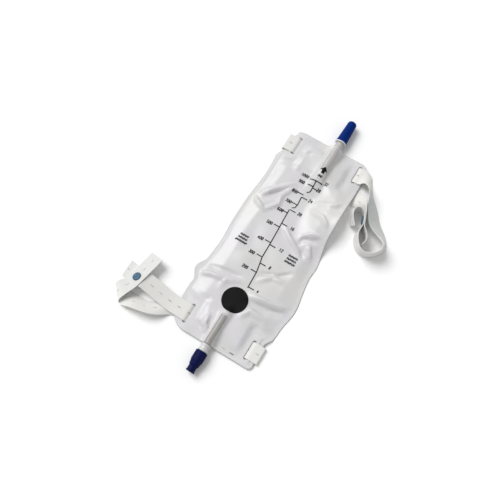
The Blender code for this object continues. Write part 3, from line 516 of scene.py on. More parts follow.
def mesh_piece(name, points, faces, look, flat=None, sharp=40.0, tidy=False):
    """Object at the origin from arrays of points and faces, with flat coordinates as its UV map."""
    mesh = bpy.data.meshes.new(name)
    mesh.from_pydata(np.asarray(points, float).reshape(-1, 3), [], np.asarray(faces).tolist())
    if flat is not None:
        corners = np.empty(len(mesh.loops), np.int32)
        mesh.loops.foreach_get("vertex_index", corners)
        layer = mesh.uv_layers.new(name="flat")
        layer.data.foreach_set("uv", np.asarray(flat, np.float32).reshape(-1, 2)[corners].ravel())
    if tidy:
        shape = bmesh.new()
        shape.from_mesh(mesh)
        bmesh.ops.remove_doubles(shape, verts=shape.verts, dist=0.000001)
        bmesh.ops.recalc_face_normals(shape, faces=shape.faces)
        shape.to_mesh(mesh)
        shape.free()
    mesh.shade_smooth()
    if sharp:
        mesh.set_sharp_from_angle(angle=math.radians(sharp))
    mesh.materials.append(look)
    piece = bpy.data.objects.new(name, mesh)
    bpy.context.scene.collection.objects.link(piece)
    return piece


def add_wall(piece, thickness):
    """Give a sheet its thickness, half of it on either side."""
    wall = piece.modifiers.new("wall", "SOLIDIFY")
    wall.thickness = thickness
    wall.offset = 0.0
    wall.use_even_offset = False


def soften(piece, width, segments=2):
    """Round the sharp edges."""
    edge = piece.modifiers.new("soft edges", "BEVEL")
    edge.width = width
    edge.segments = segments
    edge.limit_method = "ANGLE"
    edge.angle_limit = math.radians(28)


def finish_piece(piece, body, slot, *nodes):
    """The piece rides on its body and stands for the nodes. The slot is not used."""
    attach(piece, body)
    if nodes:
        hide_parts(*nodes)


def across_axes(direction):
    """Two unit vectors square to the direction and to each other."""
    along = Vector(direction).normalized()
    first = along.cross(Vector((0, 0, 1)) if abs(along.z) < 0.9 else Vector((1, 0, 0))).normalized()
    return np.array(first), np.array(along.cross(first)), np.array(along)


def pipe(name, radius, wall, low, high, where, direction, cover, node, soft):
    """Round tube from low to high along the axis, with rounded rims."""
    look = tube_look(name.replace("_pipe", " tube"), bpy.context.scene.drainage_fittings.tube_color, cover)
    profile = [(radius, high), (radius, low), (radius - wall, low), (radius - wall, high)]
    turned(name, profile, where, direction, look, ("bag", "soft_tube", node), closed=True, soft=soft)


def fine_profile(profile, longest):
    """The same profile with points added so that no stretch of it is longer than the given length."""
    rows = np.array(profile, float)
    parts = []
    for here, after in zip(rows[:-1], rows[1:]):
        count = max(1, int(math.ceil(np.linalg.norm(after - here) / longest)))
        parts.append(here + (after - here) * np.arange(count)[:, None] / count)
    return np.concatenate(parts + [rows[-1:]])


def turned(name, profile, where, direction, look, part, sides=72, closed=False, ripple=None,
           longest=0.0012, soft=0.0):
    """Profile of (radius, height) turned about an axis: place = where + height along the direction
    + radius times (cosine, sine) of the angle across it; ripple adds to the radius by angle, height
    and radius. Part names the piece's body, its slot and its node, and soft rounds its edges."""
    rows = fine_profile(list(profile) + ([profile[0]] if closed else []), longest)
    angle = 2 * math.pi * np.arange(sides) / sides
    radius = np.repeat(rows[:, :1], sides, axis=1)
    if ripple is not None:
        radius = radius + ripple(angle[None, :], rows[:, 1:2], rows[:, :1])
    first, second, along = across_axes(direction)
    out = np.cos(angle)[None, :, None] * first + np.sin(angle)[None, :, None] * second
    points = np.array(where, float) + rows[:, 1, None, None] * along + radius[..., None] * out
    flat = joined(angle / (2 * math.pi), rows[:, 1:2])
    piece = mesh_piece(name, points, grid_faces(len(rows), sides, ring=True), look, flat, tidy=True)
    if soft:
        soften(piece, soft)
    finish_piece(piece, *part)


# Straps

def even_path(rows, count, size):
    """That many even distances along a line of points, whose first few columns are its places, and
    all its columns at them."""
    gone = np.concatenate([[0], np.cumsum(np.linalg.norm(np.diff(rows[:, :size], axis=0), axis=1))])
    along = np.linspace(0, gone[-1], count(gone[-1]))
    return along, joined(*(np.interp(along, gone, column) for column in rows.T))


def strap_points(stations):
    """Centre and across-vector at each station: x, y, height of the lower edge, facing and lean."""
    rows = np.array(stations, float)
    turn, tip = np.radians(rows[:, 3]), np.radians(rows[:, 4])
    across = joined(np.cos(turn) * np.cos(tip), np.sin(turn) * np.cos(tip), np.sin(tip))
    rise = np.abs(across[:, 2]) * STRAP_WIDTH / 2 + np.cos(tip) * STRAP_THICK / 2
    return np.column_stack([rows[:, :2], rows[:, 2] + rise, across])


def rounded(rows, times):
    """Cut the corners of a line of points a few times, which turns it into a smooth curve."""
    for _ in range(times):
        near = 0.75 * rows[:-1] + 0.25 * rows[1:]
        far = 0.25 * rows[:-1] + 0.75 * rows[1:]
        middle = np.stack([near, far], axis=1).reshape(-1, rows.shape[1])
        rows = np.concatenate([rows[:1], middle[1:-1], rows[-1:]])
    return rows


def strap_line(x, end):
    """Y of the middle of a threaded strap; the upper one crosses the pouch slightly askew."""
    return end * SLOT_Y + (end > 0) * SLOT_SKEW * (x / SLOT_X + 1) / 2


def threaded(side, end):
    """Stations of a strap through the pouch, from over its open side to its first layer.

    It goes over the flange, down its slot, behind the pouch as the second layer, up the other
    slot, over that flange, round the edge and back under the pouch as the first layer.
    """
    far = SLOT_X + STRAP_REACH
    near = SLOT_X + STRAP_DIP
    inner = SLOT_X - STRAP_DIP
    deep = SLOT_X - STRAP_REACH
    wrap = PINCHED_X + 4 * CLEAR
    turn = wrap + 2 * SECOND_LAYER
    plan = [(side * far, OVER_FLANGE), (side * near, OVER_FLANGE), (side * inner, SECOND_LAYER),
            (side * deep, SECOND_LAYER), (-side * deep, SECOND_LAYER), (-side * inner, SECOND_LAYER),
            (-side * near, OVER_FLANGE), (-side * far, OVER_FLANGE), (-side * wrap, OVER_FLANGE),
            (-side * turn, OVER_FLANGE), (-side * turn, 0.0), (-side * wrap, 0.0), (-side * SLOT_X, 0.0)]
    return [(x, strap_line(x, end), low, 90, 0) for x, low in plan]


def ply(spot, facing, along, out):
    """A point on a standing ply: so far along it, and so far out from its face."""
    turn = math.radians(facing)
    return (spot[0] + along * math.cos(turn) + out * math.sin(turn),
            spot[1] + along * math.sin(turn) - out * math.cos(turn))


def upper_button_frame():
    """Middle of the standing ply at the upper button, and the way the button faces."""
    turn = math.radians(UPPER_WALL_FACING)
    return Vector((*UPPER_BUTTON, STRAP_WIDTH / 2)), Vector((-math.sin(turn), math.cos(turn), 0))


def lower_button_frame():
    """Middle of the sloping ply at the lower button, and the way the button faces."""
    turn, slope = math.radians(LOWER_FACING), math.radians(LOWER_SLOPE)
    rise = LOWER_EDGE + math.sin(slope) * STRAP_WIDTH / 2 + math.cos(slope) * STRAP_THICK / 2
    face = Vector((math.sin(slope) * math.cos(turn), math.sin(slope) * math.sin(turn), math.cos(slope)))
    return Vector((*LOWER_BUTTON, rise)), face


def from_corner(side, end, rows):
    """Stations measured from a corner's slot: x, y and, where it isn't nothing, the height of the
    lower edge in strap widths, then facing and lean."""
    return [(side * SLOT_X + x * STRAP_WIDTH, end * SLOT_Y + y * STRAP_WIDTH, sum(low) * STRAP_WIDTH, facing,
             lean) for x, y, *low, facing, lean in rows]


def upper_strap_stations():
    """From the buttoned end, round the standing loop, through the top slots and back to the loop."""
    over = OVER_FLANGE / STRAP_WIDTH
    near, far = 0.36 * STRAP_WIDTH, 0.48 * STRAP_WIDTH
    wall = [ply(UPPER_BUTTON, UPPER_WALL_FACING, along, 0.0) for along in (near, 0.0, -near)]
    mate = [ply(UPPER_BUTTON, UPPER_WALL_FACING, along, STRAP_THICK + CLEAR) for along in (far, 0.0, -far)]
    curl = [(1.32, -2.80, 150, -74), (1.08, -2.48, 150, -86), (0.94, -2.12, 150, -90),
            (1.00, -1.82, 150, -90), (1.20, -1.72, 180, -90)]
    loop = [
        (1.76, -2.80, 190, -86), (1.72, -3.14, 205, -82), (1.94, -3.58, 218, -82),
        (2.30, -3.92, 238, -86), (2.68, -3.96, 275, -92), (3.06, -3.76, 305, -92),
        (3.36, -3.42, 330, -88), (3.46, -3.06, 0, -78), (3.32, -2.76, 30, -64),
        (3.02, -2.50, 44, -52), (2.70, -2.30, 44, -44), (2.42, -2.10, 42, -42),
        (2.18, -1.84, 42, -42), (1.98, -1.52, 46, -44), (1.72, -1.18, 50, -50),
        (1.50, -0.86, 55, -60), (1.32, -0.58, 58, -68), (1.12, -0.28, 55, -68),
        (0.88, -0.02, 58, -54), (0.68, 0.14, 0.4 * over, 72, -30), (0.46, 0.20, over, 88, -6),
    ]
    tail = [
        (-2.76, 0.00, 90, 0), (-1.16, -0.28, 84, 0), (0.04, -0.76, 70, 0),
        (0.68, -1.12, 60, 0), (1.08, -1.32, 55, 48), (1.38, -1.52, 50, 82),
    ]
    tip = [
        (2.04, -2.74, 30, 90), (2.30, -3.00, 20, 90), (2.40, -3.32, 0, 90),
        (2.30, -3.64, 0, 90),
    ]
    return (from_corner(1, 1, curl) + [(x, y, 0.0, 180, -90) for x, y in wall] + from_corner(1, 1, loop)
            + threaded(1, 1) + from_corner(1, 1, tail) + [(x, y, 0.0, 30, 90) for x, y in mate]
            + from_corner(1, 1, tip))


def lower_strap_stations():
    """From the tip of the slotted tail, through the bottom slots, round the fold to the button end."""
    over = OVER_FLANGE / STRAP_WIDTH
    edge = LOWER_EDGE / STRAP_WIDTH
    spot, face = lower_button_frame()
    spot = spot - (STRAP_THICK + CLEAR) * face
    lean = -math.degrees(math.asin(face.y))

    def under(station):
        """The station brought under the button end, on the same slope."""
        x, y = station[:2]
        middle = spot.z - (face.x * (x - spot.x) + face.y * (y - spot.y)) / face.z
        tip = math.radians(lean)
        low = middle - abs(math.sin(tip)) * STRAP_WIDTH / 2 - math.cos(tip) * STRAP_THICK / 2
        return (x, y, low, 90, lean)

    tip = [(-4.40, 0.40, 90, 0), (-4.00, 0.36, 90, -1)]
    covered = [(-3.76, 0.32, 90, 0), (-3.50, 0.30, 90, 0), (-3.10, 0.27, 90, 0)]
    tail = [(-2.90, 0.24, 0.448, 90, -3), (-2.36, 0.18, 0.360, 90, 0), (-1.72, 0.08, 0.240, 90, 0),
            (-1.08, 0.01, over, 90, 0)]
    back = [
        (-0.44, 0.00, 90, 0), (-0.92, -0.08, 96, 0), (-1.24, -0.30, 104, -9),
        (-1.64, -0.68, 100, -26), (-2.20, -0.96, 92, -38), (-2.92, -1.04, 90, -34),
        (-3.48, -1.07, 100, -12), (-3.88, -1.10, 0.016, 122, -4), (-4.04, -1.10, 0.120, 135, -8),
        (-3.98, -0.88, 0.200, 140, -14), (-3.80, -0.52, 0.180, 158, -22),
        (-3.616, -0.26, edge, LOWER_FACING, -LOWER_SLOPE), (-3.52, 0.20, edge, LOWER_FACING, -LOWER_SLOPE),
        (-3.424, 0.66, edge, LOWER_FACING, -LOWER_SLOPE), (-3.20, 1.76, edge, LOWER_FACING, -LOWER_SLOPE),
    ]
    return (from_corner(-1, -1, tip) + [under(station) for station in from_corner(-1, -1, covered)]
            + from_corner(-1, -1, tail) + threaded(-1, -1) + from_corner(-1, -1, back))


def strap_sheet(stations, settings, first_slit):
    """Middle of the strap as a grid: centre line plus a share of the width along the across-vector.
    The two middle columns part like a lens at each buttonhole, and the faces between them are left out."""
    along, curve = even_path(rounded(strap_points(stations), 4), lambda length: int(length / STRAP_STEP), 3)
    across = curve[:, 3:] / np.linalg.norm(curve[:, 3:], axis=1)[:, None]
    normal = np.cross(np.gradient(curve[:, :3], axis=0), across)
    normal /= np.linalg.norm(normal, axis=1)[:, None]
    low = curve[:, 2] - np.abs(across[:, 2]) * STRAP_WIDTH / 2 - np.abs(normal[:, 2]) * STRAP_THICK / 2
    curve[:, 2] -= np.minimum(low, 0.0)
    pitch = settings.slit_pitch
    from_slit = (along - first_slit + pitch / 2) % pitch - pitch / 2
    opening = settings.slit_width / 2 * bell(from_slit, settings.slit_length / 2) ** 0.5
    fixed = np.array([1.0, 0.975, 0.9, 0.75, 0.58, 0.4, 0.22, 0.09]) * STRAP_WIDTH / 2
    left = np.repeat(-fixed[None, :], len(along), axis=0)
    places = np.column_stack([left, -opening - 0.00003, opening + 0.00003, -left[:, ::-1]])
    points = curve[:, None, :3] + places[..., None] * across[:, None, :]
    faces = grid_faces(len(along), places.shape[1])
    middle = len(fixed)
    column = faces[:, 0] % places.shape[1]
    row = faces[:, 0] // places.shape[1]
    parted = (opening[row] > 0.00008) | (opening[np.minimum(row + 1, len(along) - 1)] > 0.00008)
    faces = faces[~((column == middle) & parted)]
    return points, faces, joined(along[:, None], places)


# Looks

class Number:
    """A number or colour on a shader's socket. Sums and products of numbers add Math nodes."""

    def __init__(self, look, socket):
        self.look = look
        self.socket = socket

    def maths(self, operation, *values):
        made = self.look.node("ShaderNodeMath", {"operation": operation}, dict(enumerate(values)))
        return Number(self.look, made.outputs[0])

    def ease(self, start, end):
        """Smooth 0 to 1 as the number goes from start to end."""
        made = self.look.node("ShaderNodeMapRange", {"interpolation_type": "SMOOTHSTEP"},
                              {"Value": self, "From Min": start, "From Max": end})
        return Number(self.look, made.outputs["Result"])

    def near(self, place, start, end):
        """Smooth 1 to 0 as the distance from the place goes from start to end."""
        return 1 - (self - place).size().ease(start, end)

    __add__ = __radd__ = lambda self, other: self.maths("ADD", self, other)
    __sub__ = lambda self, other: self.maths("SUBTRACT", self, other)
    __rsub__ = lambda self, other: self.maths("SUBTRACT", other, self)
    __mul__ = __rmul__ = lambda self, other: self.maths("MULTIPLY", self, other)
    __pow__ = lambda self, other: self.maths("POWER", self, other)
    most = lambda self, other: self.maths("MAXIMUM", self, other)
    least = lambda self, other: self.maths("MINIMUM", self, other)
    size = lambda self: self.maths("ABSOLUTE", self)
    wave = lambda self: self.maths("SINE", self)


class Graph:
    """A node tree and the nodes that are added to it."""

    def __init__(self, tree):
        self.tree = tree

    def node(self, kind, settings=None, inputs=None):
        """Adds a node of that kind: its settings first, then its sockets' values or links."""
        made = self.tree.nodes.new(kind)
        for name, value in (settings or {}).items():
            setattr(made, name, value)
        for name, value in (inputs or {}).items():
            if isinstance(value, Number):
                self.tree.links.new(value.socket, made.inputs[name])
            else:
                made.inputs[name].default_value = value
        return made


class Look(Graph):
    """A material whose noise lies in the piece's own space. Its constants go on the sockets."""

    def __init__(self, name, color, roughness, **constants):
        self.material = bpy.data.materials.new(name)
        self.material.use_nodes = True
        super().__init__(self.material.node_tree)
        self.shader = self.tree.nodes["Principled BSDF"]
        self.material.diffuse_color = self.shader.inputs["Base Color"].default_value = (*color, 1.0)
        for socket, value in {"Roughness": roughness, **constants}.items():
            self.shader.inputs[socket.replace("_", " ")].default_value = value
        self.place = Number(self, self.node("ShaderNodeTexCoord").outputs["Object"])

    def noise(self, scale, detail=2.0):
        made = self.node("ShaderNodeTexNoise", {}, {"Vector": self.place, "Scale": scale, "Detail": detail})
        return Number(self, made.outputs["Fac"])

    def flat(self):
        """The two numbers of the piece's own flat coordinates."""
        made = self.node("ShaderNodeUVMap", {"uv_map": "flat"})
        split = self.node("ShaderNodeSeparateXYZ", {}, {0: Number(self, made.outputs["UV"])})
        return Number(self, split.outputs[0]), Number(self, split.outputs[1])

    def blend(self, share, *colors):
        """Colour that goes from the first to the second as share goes from 0 to 1."""
        first, second = [color if isinstance(color, Number) else (*color, 1.0) for color in colors]
        made = self.node("ShaderNodeMix", {"data_type": "RGBA"}, {0: share, 6: first, 7: second})
        return Number(self, made.outputs[2])

    def feed(self, socket, number):
        self.tree.links.new(number.socket, self.shader.inputs[socket])

    def finish(self, color, height, distance, roughness=None):
        """Feeds the colour, a bump of that height and distance, and the roughness where it varies."""
        bump = self.node("ShaderNodeBump", {}, {"Height": height, "Distance": distance})
        self.feed("Base Color", color)
        self.feed("Normal", Number(self, bump.outputs["Normal"]))
        if roughness:
            self.feed("Roughness", roughness)
        return self.material


def times(color, factor):
    """The colour times the factor, at most 1."""
    return [min(1.0, factor * c) for c in color]


def film_look(name, settings, share):
    """Frosted soft film: part see-through, clearer on the tubes, cloudier in the welds and the hem,
    with a thin darker cut edge, painted shade at the hem's slit marks and soft creases of its own."""
    look = Look(name, settings.color, settings.roughness, Specular_IOR_Level=0.62)
    x, y = look.flat()
    rim = (HALF_WIDTH - x.size()).least(HALF_LENGTH - y.size())
    cut = 1 - rim.ease(*CUT_LOOK)
    corner_x = (x.size() - PATCH_X).least(0.0)
    corner_y = (y.size() - PATCH_Y).least(0.0)
    corner = (corner_x * corner_x + corner_y * corner_y) ** 0.5
    weld = (1 - rim.ease(*WELD_LOOK)).most(1 - corner.ease(*PATCH_LOOK))
    weld = weld.most(1 - (y - BOTTOM_EDGE).ease(*HEM))
    # Painted shade at the hem's slit marks, which are not cut through the film
    first, second = [x.near(mx, *wide) * y.near(my, *high) * dark for (mx, my), wide, high, dark in HEM_SLIT_SHADES]
    slit_shade = first.most(second)
    inlet = x.near(INLET_X, 0.0040, 0.0064) * (y - (TOP_EDGE - TUBE_INSIDE)).ease(-0.004, 0.003)
    outlet = x.near(OUTLET_X, 0.0034, 0.0058) * (1 - (y - (BOTTOM_EDGE + DRAIN_INSIDE)).ease(-0.003, 0.003))
    cloud = look.noise(26.0, 3.0)
    tone = look.blend(cloud, times(settings.color, 0.94), times(settings.color, 1.03))
    tone = look.blend(look.noise(11.0).ease(0.42, 0.62) * 0.55, tone, settings.warm_color)
    tone = look.blend(weld * 0.22, tone, settings.weld_color)
    tone = look.blend((inlet * 0.4).most(outlet), tone, settings.pressed_color)
    # The slit marks get painted shade, nearly opaque; the cut edge gets its own darker line
    tone = look.blend((cut * 0.4).most(slit_shade), tone, (0.10, 0.10, 0.105))
    cover = share + cloud * 0.08 - 0.04 + weld * 0.04 - inlet * 0.18 - outlet * 0.30
    look.feed("Alpha", cover.least(1.0).most(cut * 0.7).most(slit_shade * 0.95))
    lines = ((x + y) * 2600.0).wave() * ((x - y) * 2600.0).wave() * weld * 0.14
    soft = look.noise(48.0, 1.5) * 2.2 + look.noise(120.0) * 0.5 + look.noise(420.0) * 0.05
    height = soft + lines + weld * (1 - weld) * 1.2
    return look.finish(tone, height, 0.00022, settings.roughness + cloud * 0.10 + weld * 0.10)


def tube_look(name, color, share):
    """Clear soft tube with faint lengthwise draw lines."""
    look = Look(name, color, 0.16, Specular_IOR_Level=0.5)
    turn, _ = look.flat()
    draw = (turn * (2 * math.pi * 22)).wave() * 0.5 + (turn * (2 * math.pi * 47)).wave() * 0.3
    cloud = look.noise(120.0)
    look.feed("Alpha", share + cloud * 0.16 - 0.08)
    return look.finish(look.blend(cloud, times(color, 0.86), color), draw + cloud, 0.00006)


def elastic_look(name, settings, start, end, share):
    """Woven elastic: rubber cords along the strap, fine weft across it and denser selvedges. It is
    painted greyer, as shade, by the share between two lengths."""
    look = Look(name, settings.color, 0.72, Sheen_Weight=0.25, Sheen_Roughness=0.4, Specular_IOR_Level=0.25)
    along, across = look.flat()
    cords = (across * (2 * math.pi / CORD_PITCH)).wave()
    weft = (along * (2 * math.pi / WEFT_PITCH)).wave()
    weave = cords * 0.6 + weft * 0.3 + cords * weft * 0.4
    selvedge = across.size().ease(*SELVEDGE)
    cloud = look.noise(60.0, 3.0)
    worn = times(settings.color, 0.88)
    tone = look.blend(weave * 0.22 + 0.5, worn, times(settings.color, 1.05))
    tone = look.blend(cloud * 0.22, tone, worn)
    tone = look.blend(selvedge * 0.35, tone, worn)
    # Painted shade: the elastic is darkened between the two lengths
    shaded_span = along.ease(start, start + 0.012) * (1 - along.ease(end, end + 0.012))
    tone = look.blend(shaded_span * share, tone, settings.painted_shade_color)
    return look.finish(tone, weave * (1 - selvedge) + selvedge * 1.2, 0.00008, cloud * 0.2 + 0.62)


def moulded_look(name, color, roughness, worn=0.06, shine=0.5):
    """Moulded plastic: slight mottling, fine grain and a little polish that varies."""
    look = Look(name, color, roughness, Specular_IOR_Level=shine)
    mottle, fine = look.noise(90.0, 3.0), look.noise(900.0)
    tone = look.blend(mottle, times(color, 1 - 2 * worn), times(color, 1 + worn))
    polish = mottle * 0.14 + fine * 0.06 + (roughness - 0.08)
    return look.finish(tone, fine * 0.5 + mottle * 0.4, 0.00004, polish)


def ink_look(name, color):
    """Printed ink: nearly flat black with slightly thin patches."""
    look = Look(name, color, 0.55, Specular_IOR_Level=0.06)
    patch = look.noise(420.0, 3.0)
    tone = look.blend(patch.ease(0.55, 0.75) * 0.4, color, (0.018, 0.018, 0.019))
    return look.finish(tone, patch, 0.00002, patch * 0.25 + 0.38)


def rubber_look(name):
    """Soft dark rubber for the sealing ring."""
    look = Look(name, (0.045, 0.045, 0.048), 0.6)
    grain = look.noise(700.0)
    tone = look.blend(grain, (0.035, 0.035, 0.037), (0.06, 0.06, 0.062))
    return look.finish(tone, grain, 0.00004, grain * 0.3 + 0.45)


# Sizes and colours that a user may change

def color_setting(name, description, *color):
    """A colour that a user may change."""
    return FloatVectorProperty(name=name, description=description, subtype="COLOR", size=3, min=0.0, max=1.0,
                               default=color)


def share_setting(name, description, value):
    """A share that a user may change."""
    return FloatProperty(name=name, description=description, default=value, min=0.0, max=1.0,
                         subtype="FACTOR")


def length_setting(name, description, value, least, most):
    """A length in metres that a user may change."""
    return FloatProperty(name=name, description=description, default=value, min=least, max=most,
                         unit="LENGTH", precision=5)


class PouchSettings(bpy.types.PropertyGroup):
    color: color_setting("Film colour", "Colour of the frosted film", 0.835, 0.822, 0.842)
    weld_color: color_setting("Weld colour", "Colour where the films are welded", 0.74, 0.75, 0.74)
    warm_color: color_setting("Warm patches", "Colour of the film's warmer patches", 0.83, 0.83, 0.80)
    pressed_color: color_setting("Tube patches", "Colour where the film lies on a tube", 0.50, 0.475, 0.455)
    front_share: share_setting("Front cover", "How much one face of the front film hides", 0.53)
    back_share: share_setting("Back cover", "How much one face of the back film hides", 0.58)
    roughness: share_setting("Film roughness", "Roughness of the film", 0.27)
    thickness: length_setting("Film thickness", "Thickness of one film", 0.0003, 0.0001, 0.001)
    crumple: length_setting("Crumple", "Height of the soft unevenness", 0.0013, 0.0, 0.003)
    columns: IntProperty(name="Columns", description="Grid cells across the front film", default=126, min=20,
                         max=200)
    rows: IntProperty(name="Rows", description="Grid cells along the front film", default=306, min=40,
                      max=500)


class PrintSettings(bpy.types.PropertyGroup):
    color: color_setting("Ink colour", "Colour of the printed scale", 0.006, 0.006, 0.0065)
    line: length_setting("Line width", "Width of the scale's lines", 0.0014, 0.0003, 0.003)
    digit: length_setting("Digit height", "Height of the scale's digits", 0.0047, 0.002, 0.01)
    disc: length_setting("Disc radius", "Radius of the plain printed disc", 0.0188, 0.005, 0.03)


class StrapSettings(bpy.types.PropertyGroup):
    color: color_setting("Elastic colour", "Colour of the woven elastic", 0.765, 0.760, 0.738)
    # Painted shade: a darker copy of the elastic colour, laid on parts of the straps
    painted_shade_color: color_setting("Painted shade colour", "Colour of the elastic's painted shade", 0.57, 0.59, 0.575)
    button_color: color_setting("Button colour", "Colour of the strap buttons", 0.042, 0.112, 0.182)
    slit_pitch: length_setting("Buttonhole pitch", "Distance between buttonholes", 0.0158, 0.008, 0.05)
    slit_length: length_setting("Buttonhole length", "Length of a buttonhole", 0.0066, 0.002, 0.012)
    slit_width: length_setting("Buttonhole width", "Width at a buttonhole's middle", 0.0007, 0.0002, 0.003)


class FittingSettings(bpy.types.PropertyGroup):
    cap_color: color_setting("Cap colour", "Colour of the inlet cap", 0.0008, 0.0200, 0.1600)
    sleeve_color: color_setting("Sleeve colour", "Colour of the outlet sleeve", 0.0030, 0.0060, 0.0560)
    white: color_setting("White parts", "Colour of the connector and collar", 0.74, 0.73, 0.75)
    tube_color: color_setting("Tube colour", "Colour of the soft tubes", 0.66, 0.65, 0.63)


class StageSettings(bpy.types.PropertyGroup):
    sun: FloatProperty(name="Key light", description="Strength of the soft light from the upper left",
                       default=2.45, min=0.0)
    spread: FloatProperty(name="Softness", description="Width of the key light as seen from the bag",
                          default=math.radians(36.0), min=0.0, max=math.pi, subtype="ANGLE")
    sky: FloatProperty(name="Sky", description="Strength of the even light from all round", default=0.47,
                       min=0.0)


# Pieces

def cut_slots(points, faces, spots):
    """Leave out the faces inside each slot and draw the points round it onto its outline.
    A slot is every point nearer than its half width to the line along its middle."""
    x, y = points[..., 0].ravel(), points[..., 1].ravel()
    inside = np.zeros(len(x), bool)
    for cx, cy, half_x, half_y in spots:
        reach = min(half_x, half_y)
        dx = np.clip(x - cx, -(half_x - reach), half_x - reach)
        dy = np.clip(y - cy, -(half_y - reach), half_y - reach)
        away_x, away_y = x - cx - dx, y - cy - dy
        away = np.maximum(np.hypot(away_x, away_y), 1e-9)
        near = away < reach
        inside |= near
        x = np.where(near, cx + dx + away_x / away * reach, x)
        y = np.where(near, cy + dy + away_y / away * reach, y)
    kept = faces[~inside[faces].all(axis=1)]
    moved = points.reshape(-1, 3).copy()
    used = np.zeros(len(moved), bool)
    used[kept.ravel()] = True
    moved[:, 0] = np.where(inside & used, x, moved[:, 0])
    moved[:, 1] = np.where(inside & used, y, moved[:, 1])
    number = np.cumsum(used) - 1
    return moved[used], number[kept], used


def film_piece(name, place, columns, rows, look, thickness):
    """One film: the surface place(u, v) on a grid, with its slots cut out and a thin wall."""
    u, v = np.meshgrid(np.linspace(-1, 1, columns + 1), np.linspace(-1, 1, rows + 1))
    points = place(u, v)
    spots = [(side * SLOT_X, strap_line(side * SLOT_X, end), SLOT_WIDTH / 2, STRAP_WIDTH / 2 + SLOT_EXTRA)
             for side in (-1, 1) for end in (-1, 1)]
    flat = joined(u * HALF_WIDTH, v * HALF_LENGTH).reshape(-1, 2)
    points, faces, used = cut_slots(points, grid_faces(rows + 1, columns + 1), spots)
    piece = mesh_piece(name, points, faces, look, flat[used], sharp=None)
    add_wall(piece, thickness)
    return piece


class DRAINBAG_OT_pouch(bpy.types.Operator):
    """Add the two welded films of the pouch and the flat valve between them"""
    bl_idname = "drainbag.pouch"
    bl_label = "Add Pouch"

    def execute(self, context):
        settings = context.scene.drainage_pouch
        for side, place, share, cells in (("front", front_place, settings.front_share, (8, 8)),
                                          ("back", back_place, settings.back_share, (5, 8))):
            columns, rows = (count * cells[0] // cells[1] for count in (settings.columns, settings.rows))
            look = film_look(side + " film", settings, share)
            film = film_piece("pouch_" + side, place, columns, rows, look, settings.thickness)
            finish_piece(film, "bag", "clear_film", side + "_film")

        rings, sides = 34, 64
        t = np.linspace(0, 1, rings)[:, None]
        half_width, half_height, middle, ease = valve_section(t)
        angle = 2 * math.pi * np.arange(sides)[None, :] / sides
        half_height = half_height + 0.0002 * np.sin(5 * angle + 9 * t) * ease * (1 - ease) * 4
        points = joined(INLET_X + half_width * np.cos(angle), TOP_EDGE - VALVE_START - VALVE_LENGTH * t,
                        middle + half_height * np.sin(angle))
        flat = joined(angle / (2 * math.pi), t * VALVE_LENGTH)
        valve = mesh_piece("flat_valve", points, grid_faces(rings, sides, ring=True),
                           tube_look("valve film", (0.74, 0.74, 0.75), 0.22), flat, sharp=None, tidy=True)
        add_wall(valve, 0.0002)
        finish_piece(valve, "bag", "clear_film", "reflux_valve")
        return {"FINISHED"}


def inked_strip(line, width, count=None, longest=0.0007):
    """Points and quads of a printed line: each point of the path moved half the width to either side."""
    gone, path = even_path(np.array(line, float), lambda length: count or max(2, int(length / longest)), 2)
    along = np.gradient(path, axis=0)
    along /= np.linalg.norm(along, axis=1)[:, None]
    side = joined(-along[:, 1], along[:, 0])
    places = np.array([-0.5, 0.0, 0.5]) * width
    return path[:, None, :] + places[None, :, None] * side[:, None, :], grid_faces(len(gone), 3)


def inked_strokes(centre, length, height, pitch=0.00135):
    """A row of small slanted strokes, each crossed by a short dash: stroke k is as high as one plus
    a fifth of the sine of 2.3 k, and its dash lies up or down by the sine of 1.7 k."""
    strips = []
    for k in range(max(2, int(length / pitch))):
        x, y = centre[0] - length / 2 + pitch * (k + 0.5), centre[1]
        tall = 0.42 * height * (1 + 0.22 * math.sin(2.3 * k))
        strips.append(inked_strip([(x - 0.2 * tall, y - tall), (x + 0.2 * tall, y + tall)], 0.00085, 4))
        across = y + 0.4 * height * math.sin(1.7 * k + length * 900)
        strips.append(inked_strip([(x - 0.0006, across), (x + 0.0007, across)], 0.0008, 3))
    return strips


def printed(name, patches, look):
    """All patches of print as one thin piece on the film: height is the film's top at each place.
    A quad whose diagonals turn clockwise is turned over, so that every face looks up."""
    points, faces, start = [], [], 0
    for flat, quads in patches:
        flat = np.asarray(flat, float).reshape(-1, 2)
        points.append(flat)
        faces.append(np.asarray(quads) + start)
        start += len(flat)
    flat, quads = np.concatenate(points), np.concatenate(faces)
    (ax, ay), (bx, by) = (flat[quads[:, 2]] - flat[quads[:, 0]]).T, (flat[quads[:, 3]] - flat[quads[:, 1]]).T
    quads = np.where((ax * by < ay * bx)[:, None], quads[:, ::-1], quads)
    height = film_top(flat[:, 0], flat[:, 1])
    piece = mesh_piece(name, np.column_stack([flat, height]), quads, look, flat, sharp=None)
    finish_piece(piece, "bag", "clear_film")
    return piece


def inked_number(label, centre, height):
    """Strips of a printed number: each digit's path with a quarter cut off at every corner, about its
    middle and times the height, three quarters as wide and leaning a seventh of its height."""
    strips = []
    for k, digit in enumerate(label):
        path = np.reshape(DIGIT_PATHS[digit], (-1, 2)) / 100
        cut = np.stack([0.75 * path[:-1] + 0.25 * path[1:], 0.25 * path[:-1] + 0.75 * path[1:]], axis=1)
        path = np.concatenate([path[:1], cut.reshape(-1, 2), path[-1:]])
        across = 0.76 * (path[:, 0] - 0.28) + 0.14 * (path[:, 1] - 0.5) + 0.66 * (k - (len(label) - 1) / 2)
        line = np.column_stack([across, path[:, 1] - 0.5]) * height + centre
        strips.append(inked_strip(line, DIGIT_STROKE, longest=0.0003))
    return strips


